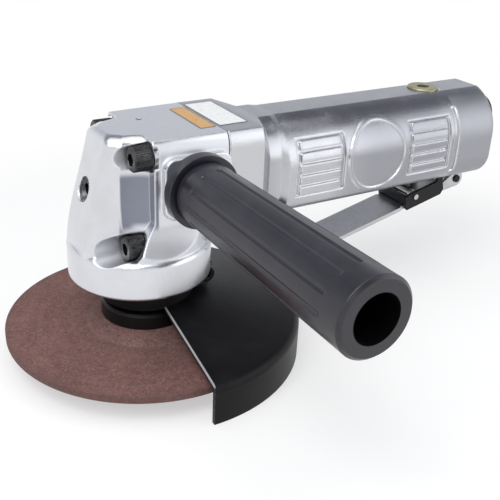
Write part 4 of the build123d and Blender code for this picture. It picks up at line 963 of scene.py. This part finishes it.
@dataclass
class Assembly:
    """Sub-assembly of the tool.

    Attributes:
        materials: Material of each finish.
        dressed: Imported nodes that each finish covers.
    """

    materials: dict[Finish, Material]
    dressed: ClassVar[dict[Finish, tuple[str, ...]]] = {}

    def add(self, name: str, shape: Shape, finish: Finish, slot: Slot) -> bpy.types.Object:
        """Makes a piece that rides on the housing.

        Args:
            name: Name of the piece.
            shape: Its shape in metres, which is freed.
            finish: Its finish.
            slot: Material slot of the record; not used.

        Returns:
            The object.
        """
        bmesh.ops.recalc_face_normals(shape, faces=shape.faces)
        shape.verts.index_update()
        for parts in (shape.edges, shape.faces):
            parts.sort(key=rank)
        piece = new_object(name, shape, self.materials[finish])
        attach(piece, CARRIER)
        log.info("%s made with %d faces", name, len(piece.data.polygons))
        return piece

    def make_pieces(self) -> None:
        """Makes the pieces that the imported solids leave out, if there are any."""

    def build(self) -> None:
        """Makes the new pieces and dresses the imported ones."""
        self.make_pieces()
        for finish, names in self.dressed.items():
            for name in names:
                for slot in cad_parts[name].material_slots:
                    slot.material = self.materials[finish]
                log.info("%s dressed in %s", name, finish.value.name)


@dataclass
class GearHead(Assembly):
    """Cast gear head with its screws, its cap, the bare stickers on its top and its far pad's thread.

    Attributes:
        top: Height of the flat top in metres.
        sticker_rise: Thickness of a sticker in metres.
        sticker_corner: Radius of a sticker's corners in metres.
        sticker_steps: Number of steps in such a corner.
        orange: Outline of the orange band in metres.
        white: Outline of the white field in metres.
        far_thread: Thread of the pad that takes the handle on the other side.
        screw: Size of the four screws.
        seats: Middle of each screw head's seat in metres, and the turn that it was tightened to in radians.
        screw_end: X of the ends of the screws in metres.
    """

    top: float = 0.0995
    sticker_rise: float = 0.00012
    sticker_corner: float = 0.0010
    sticker_steps: int = 4
    orange: Field = ((0.0189, 0.0264), (-0.0148, 0.0148))
    white: Field = ((0.0279, 0.0418), (-0.0145, 0.0185))
    far_thread: InnerThread = InnerThread(
        (HANDLE_X, 0.0272, HANDLE_Z), (0.0, -1.0, 0.0), radius=0.00503, depth=0.0005, pitch=0.0015, turns=7
    )
    screw: CapScrew = CapScrew()
    seats: tuple[tuple[Point, float], ...] = (
        ((-0.0056, -SCREW_SPREAD, SCREW_MIDDLE + SCREW_SPREAD), 0.20),
        ((-0.0056, SCREW_SPREAD, SCREW_MIDDLE + SCREW_SPREAD), 0.75),
        ((-0.0090, -SCREW_SPREAD, SCREW_MIDDLE - SCREW_SPREAD), 0.45),
        ((-0.0090, SCREW_SPREAD, SCREW_MIDDLE - SCREW_SPREAD), 0.05),
    )
    screw_end: float = 0.0434

    dressed = {
        Finish.HEAD_ALLOY: ("gear_head",),
        Finish.BLACK: ("grease_plug", "bearing_cap"),
        Finish.STEEL: ("lock_washers",),
        Finish.GASKET: ("seam_gasket",),
    }

    def _sticker(self, name: str, outline: Field, finish: Finish) -> None:
        """Makes one field of the sticker.

        Args:
            name: Name of the piece.
            outline: Its ends along X and along Y in metres.
            finish: Its print.
        """
        shape = bmesh.new()
        bmesh.ops.create_cube(shape, size=1.0)
        size = (*(high - low for low, high in outline), self.sticker_rise)
        middle = (*((low + high) / 2 for low, high in outline), self.top + self.sticker_rise / 2)
        bmesh.ops.scale(shape, vec=size, verts=shape.verts)
        bmesh.ops.translate(shape, vec=middle, verts=shape.verts)
        least = self.sticker_rise / 2
        upright = [edge for edge in shape.edges if abs((edge.verts[0].co - edge.verts[1].co).z) > least]
        bmesh.ops.bevel(
            shape, geom=upright, offset=self.sticker_corner, affect="EDGES",
            segments=self.sticker_steps, profile=0.5, material=-1,
        )
        self.add(name, shape, finish, Slot.ALLOY)

    def make_pieces(self) -> None:
        """Makes the stickers, the far pad's thread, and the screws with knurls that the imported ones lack."""
        self._sticker("sticker_band", self.orange, Finish.ORANGE)
        self._sticker("sticker_field", self.white, Finish.WHITE_PRINT)
        self.add("far_pad_thread", self.far_thread.shape(), Finish.ALLOY, Slot.ALLOY)
        shape = bmesh.new()
        for seat, turn in self.seats:
            self.screw.add(shape, seat, self.screw_end, turn)
        screws = self.add("knurled_head_screws", shape, Finish.SCREW_BLACK, Slot.BLACK_STEEL)
        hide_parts("head_screws")


@dataclass
class MotorHousing(Assembly):
    """Cast grip with the motor, the valve and the air ports in it.

    Attributes:
        inlet_thread: Thread that takes the tail of an air coupling.
    """

    inlet_thread: InnerThread = InnerThread(
        (0.1918, 0.0, 0.0770), (-1.0, 0.0, 0.0), radius=0.00563, depth=0.0006, pitch=0.00141, turns=10
    )

    dressed = {
        Finish.ALLOY: ("motor_housing",),
        Finish.STEEL: (
            "cylinder", "cylinder_pin", "front_end_plate", "rear_end_plate", "rotor", "bevel_pinion",
            "pinion_bearing_inner", "pinion_bearing_outer", "rear_bearing_inner", "rear_bearing_outer",
            "valve_stem", "inlet_bushing",
        ),
        Finish.BRASS: ("valve_plug", "valve_seat", "inlet_strainer"),
        Finish.RUBBER: ("valve_seal",),
        Finish.PHENOLIC: ("rotor_vanes",),
        Finish.FELT: ("silencer_pad",),
        Finish.ENAMEL: ("exhaust_plate",),
    }

    def make_pieces(self) -> None:
        """Makes the inlet's thread."""
        self.add("inlet_thread", self.inlet_thread.shape(), Finish.STEEL, Slot.STEEL)


@dataclass
class Throttle(Assembly):
    """Throttle lever with its lock-off latch and the spring that shuts its valve.

    Attributes:
        wire: Radius of the spring's wire in metres.
        sides: Number of sides of the wire.
        turns: Number of turns of the spring.
        steps: Number of steps in each turn.
        travel: Way of the spring's lower end when the valve is open, with a little to spare, in metres; not
            used.
    """

    wire: float = 0.00045
    sides: int = 12
    turns: int = 5
    steps: int = 24
    travel: float = 0.00435

    dressed = {
        Finish.LEVER_STEEL: ("throttle_lever",),
        Finish.STEEL: ("latch_pin",),
        Finish.BLACK: ("lock_off_latch", "lever_pin"),
    }

    def make_pieces(self) -> None:
        """Winds the valve spring at full length; in the tool it shortens towards its upper end as the valve
        opens.
        """
        low, high = (Vector(corner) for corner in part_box("valve_spring"))
        middle, height = (low + high) / 2, high.z - low.z
        start = Matrix.Translation((high.x - self.wire, middle.y, low.z + self.wire))
        shape = bmesh.new()
        bmesh.ops.create_circle(shape, segments=self.sides, radius=self.wire)
        bmesh.ops.transform(shape, matrix=start @ Matrix.Rotation(math.pi / 2, 4, "X"), verts=shape.verts)
        pitch = (height - 2 * self.wire) / self.turns
        wind(shape, middle, (0.0, 0.0, 1.0), pitch, self.turns, self.steps)
        spring = self.add("wound_valve_spring", shape, Finish.STEEL, Slot.STEEL)
        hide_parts("valve_spring")
        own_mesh(spring)


@dataclass
class SideHandle(Assembly):
    """Rubber side handle on its threaded rod."""

    dressed = {Finish.RUBBER: ("handle_grip",), Finish.STEEL: ("handle_rod",)}


@dataclass
class SpindleStack(Assembly):
    """Spindle with its gear, bearings and the clamped disc."""

    dressed = {
        Finish.STEEL: (
            "spindle", "bevel_gear", "gear_key", "gear_retaining_ring",
            "lower_bearing_inner", "lower_bearing_outer", "upper_bearing_inner", "upper_bearing_outer",
        ),
        Finish.BLACK: ("clamp_flange", "lock_nut"),
        Finish.GRIT: ("grinding_disc",),
        Finish.RUBBER: ("spindle_seal",),
    }


@dataclass
class WheelGuard(Assembly):
    """Pressed half guard with its clamp."""

    dressed = {
        Finish.GUARD_ENAMEL: ("guard",),
        Finish.ENAMEL: ("guard_collar",),
        Finish.BLACK: ("clamp_screw", "clamp_nut"),
    }


@dataclass(frozen=True)
class Lamp:
    """Soft square lamp.

    Attributes:
        name: Name of the lamp.
        eye: Place of the lamp in metres.
        size: Length of its side in metres.
        power: Power in watts.
    """

    name: str
    eye: Point
    size: float
    power: float

    def add(self, target: Point) -> None:
        """Puts the lamp in the scene.

        Args:
            target: Point that it faces, in metres.
        """
        data = bpy.data.lights.new(self.name, "AREA")
        data.size = self.size
        data.energy = self.power
        lamp = bpy.data.objects.new(self.name, data)
        lamp.location = self.eye
        lamp.rotation_mode = "QUATERNION"
        lamp.rotation_quaternion = (Vector(target) - Vector(self.eye)).to_track_quat("-Z", "Y")
        bpy.context.scene.collection.objects.link(lamp)


@dataclass
class Studio:
    """Camera, floor, lights and the walls that the metal mirrors.

    Attributes:
        eye: Place of the camera in metres.
        right: Direction to the right of the picture.
        up: Direction up the picture.
        back: Direction from the picture to the camera.
        lens: Focal length in millimetres.
        sensor: Width of the camera's sensor in millimetres.
        clip: Nearest and farthest distance that the camera sees, in metres.
        aim: Middle of the tool in metres, which the lamps face.
        lamps: The lamps.
        walls: Colours of the mirrored walls and ceiling, by the sine of their height.
        sky: Colour of the light all round.
        sky_strength: Strength of that light.
        floor: Height of the floor in metres.
        floor_reach: Half the width of the floor in metres.
        paper: Darkest and palest colour of the floor.
        sheet: Radii in metres between which the lit floor turns into the white sheet behind the tool.
        sheet_least: Share of that white close to the tool.
        bounce: Strength of the light that the floor throws back.
        bounce_share: Share of that light in what the floor throws back.
    """

    eye: Point = (-0.13112, -0.29513, 0.20303)
    right: Point = (0.8562, -0.5151, 0.0403)
    up: Point = (0.1986, 0.4002, 0.8946)
    back: Point = (-0.4770, -0.7579, 0.4450)
    lens: float = 58.39
    sensor: float = 36.0
    clip: Span = (0.01, 20.0)
    aim: Point = (0.05, -0.02, 0.05)
    lamps: tuple[Lamp, ...] = (
        Lamp("key_lamp", (-0.45, -0.35, 0.75), size=0.60, power=5.0),
        Lamp("top_lamp", (-0.05, -0.05, 0.95), size=1.00, power=4.2),
        Lamp("side_lamp", (0.60, -0.55, 0.35), size=0.70, power=1.6),
    )
    walls: tuple[tuple[float, Colour], ...] = (
        (0.00, (1.0, 1.0, 1.0)),
        (0.28, (0.92, 0.94, 1.0)),
        (0.46, (0.66, 0.68, 0.73)),
        (0.62, (0.37, 0.38, 0.43)),
        (0.76, (0.19, 0.19, 0.225)),
        (1.00, (0.14, 0.14, 0.16)),
    )
    sky: Colour = (0.92, 0.95, 1.0)
    sky_strength: float = 0.35
    floor: float = -0.0047
    floor_reach: float = 6.0
    paper: tuple[Colour, Colour] = ((0.93, 0.93, 0.93), (0.95, 0.95, 0.95))
    sheet: Span = (0.12, 0.32)
    sheet_least: float = 0.5
    bounce: float = 0.6
    bounce_share: float = 0.5

    def _camera(self) -> None:
        """Places the camera."""
        data = bpy.data.cameras.new("picture_camera")
        data.lens = self.lens
        data.sensor_width = self.sensor
        data.clip_start, data.clip_end = self.clip
        camera = bpy.data.objects.new("picture_camera", data)
        turn = Matrix((self.right, self.up, self.back)).transposed().to_4x4()
        camera.matrix_world = Matrix.Translation(self.eye) @ turn
        bpy.context.scene.collection.objects.link(camera)
        bpy.context.scene.camera = camera

    def _surround(self) -> None:
        """Sets the pale light all round, the walls that gloss mirrors and the white behind the tool."""
        graph = Graph(bpy.data.worlds.new("studio_surround"))
        bpy.context.scene.world = graph.owner
        heading = graph.node("ShaderNodeTexCoord", output="Generated")
        height = graph.node("ShaderNodeSeparateXYZ", {}, {0: heading}, "Z")
        walls = graph.node("ShaderNodeValToRGB", {"stops": self.walls}, {0: height})
        seen = graph.path("Is Camera Ray") | graph.path("Is Transmission Ray")
        shown = graph.mix(seen, walls, WHITE)
        light = graph.node("ShaderNodeBackground", {}, {"Color": self.sky, "Strength": self.sky_strength})
        mirrored = graph.node("ShaderNodeBackground", {}, {"Color": shown, "Strength": 1.0})
        graph.show(graph.blend(seen | graph.path("Is Glossy Ray"), light, mirrored))

    def _paper(self) -> Material:
        """Builds the floor's material, which is white away from the tool's shadow and clear from below.

        Returns:
            The material.
        """
        graph = Graph(bpy.data.materials.new("pale_floor"))
        tone = graph.mix(graph.noise(graph.place(), scale=40.0), *self.paper)
        material = graph.finish(Base_Color=tone, Roughness=0.9, Specular_IOR_Level=0.0)
        out = (graph.axis("X") - self.aim[0]).reach(graph.axis("Y") - self.aim[1])
        away = out.ramp(*self.sheet) | self.sheet_least
        seen = graph.path("Is Camera Ray") | graph.path("Is Glossy Ray") | graph.path("Is Transmission Ray")
        lit = Wire(graph, graph.tree.nodes["Principled BSDF"].outputs["BSDF"])
        white, bounce = (
            graph.node("ShaderNodeEmission", {}, {"Color": WHITE, "Strength": strength})
            for strength in (1.0, self.bounce)
        )
        clear = graph.node("ShaderNodeBsdfTransparent")
        below = graph.node("ShaderNodeNewGeometry", output="Backfacing")
        near = graph.blend(self.bounce_share * graph.path("Is Diffuse Ray"), lit, bounce)
        graph.show(graph.blend(below, graph.blend(seen * away, near, white), clear))
        return material

    def _ground(self) -> None:
        """Lays the floor."""
        shape = bmesh.new()
        bmesh.ops.create_grid(shape, x_segments=1, y_segments=1, size=self.floor_reach)
        bmesh.ops.translate(shape, vec=(0.0, 0.0, self.floor), verts=shape.verts)
        new_object("studio_floor", shape, self._paper())

    def build(self) -> None:
        """Sets the camera, lights, floor and view transform."""
        bpy.context.scene.view_settings.view_transform = "Standard"
        self._camera()
        for lamp in self.lamps:
            lamp.add(self.aim)
        self._surround()
        self._ground()


def main() -> None:
    """Builds the classes in order."""
    logging.basicConfig(level=logging.INFO, format="%(name)s: %(message)s")
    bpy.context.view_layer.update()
    materials = {finish: finish.value.material() for finish in Finish}
    for assembly in (GearHead, MotorHousing, Throttle, SideHandle, SpindleStack, WheelGuard):
        assembly(materials).build()
    Studio().build()


if __name__ == "__main__":
    main()
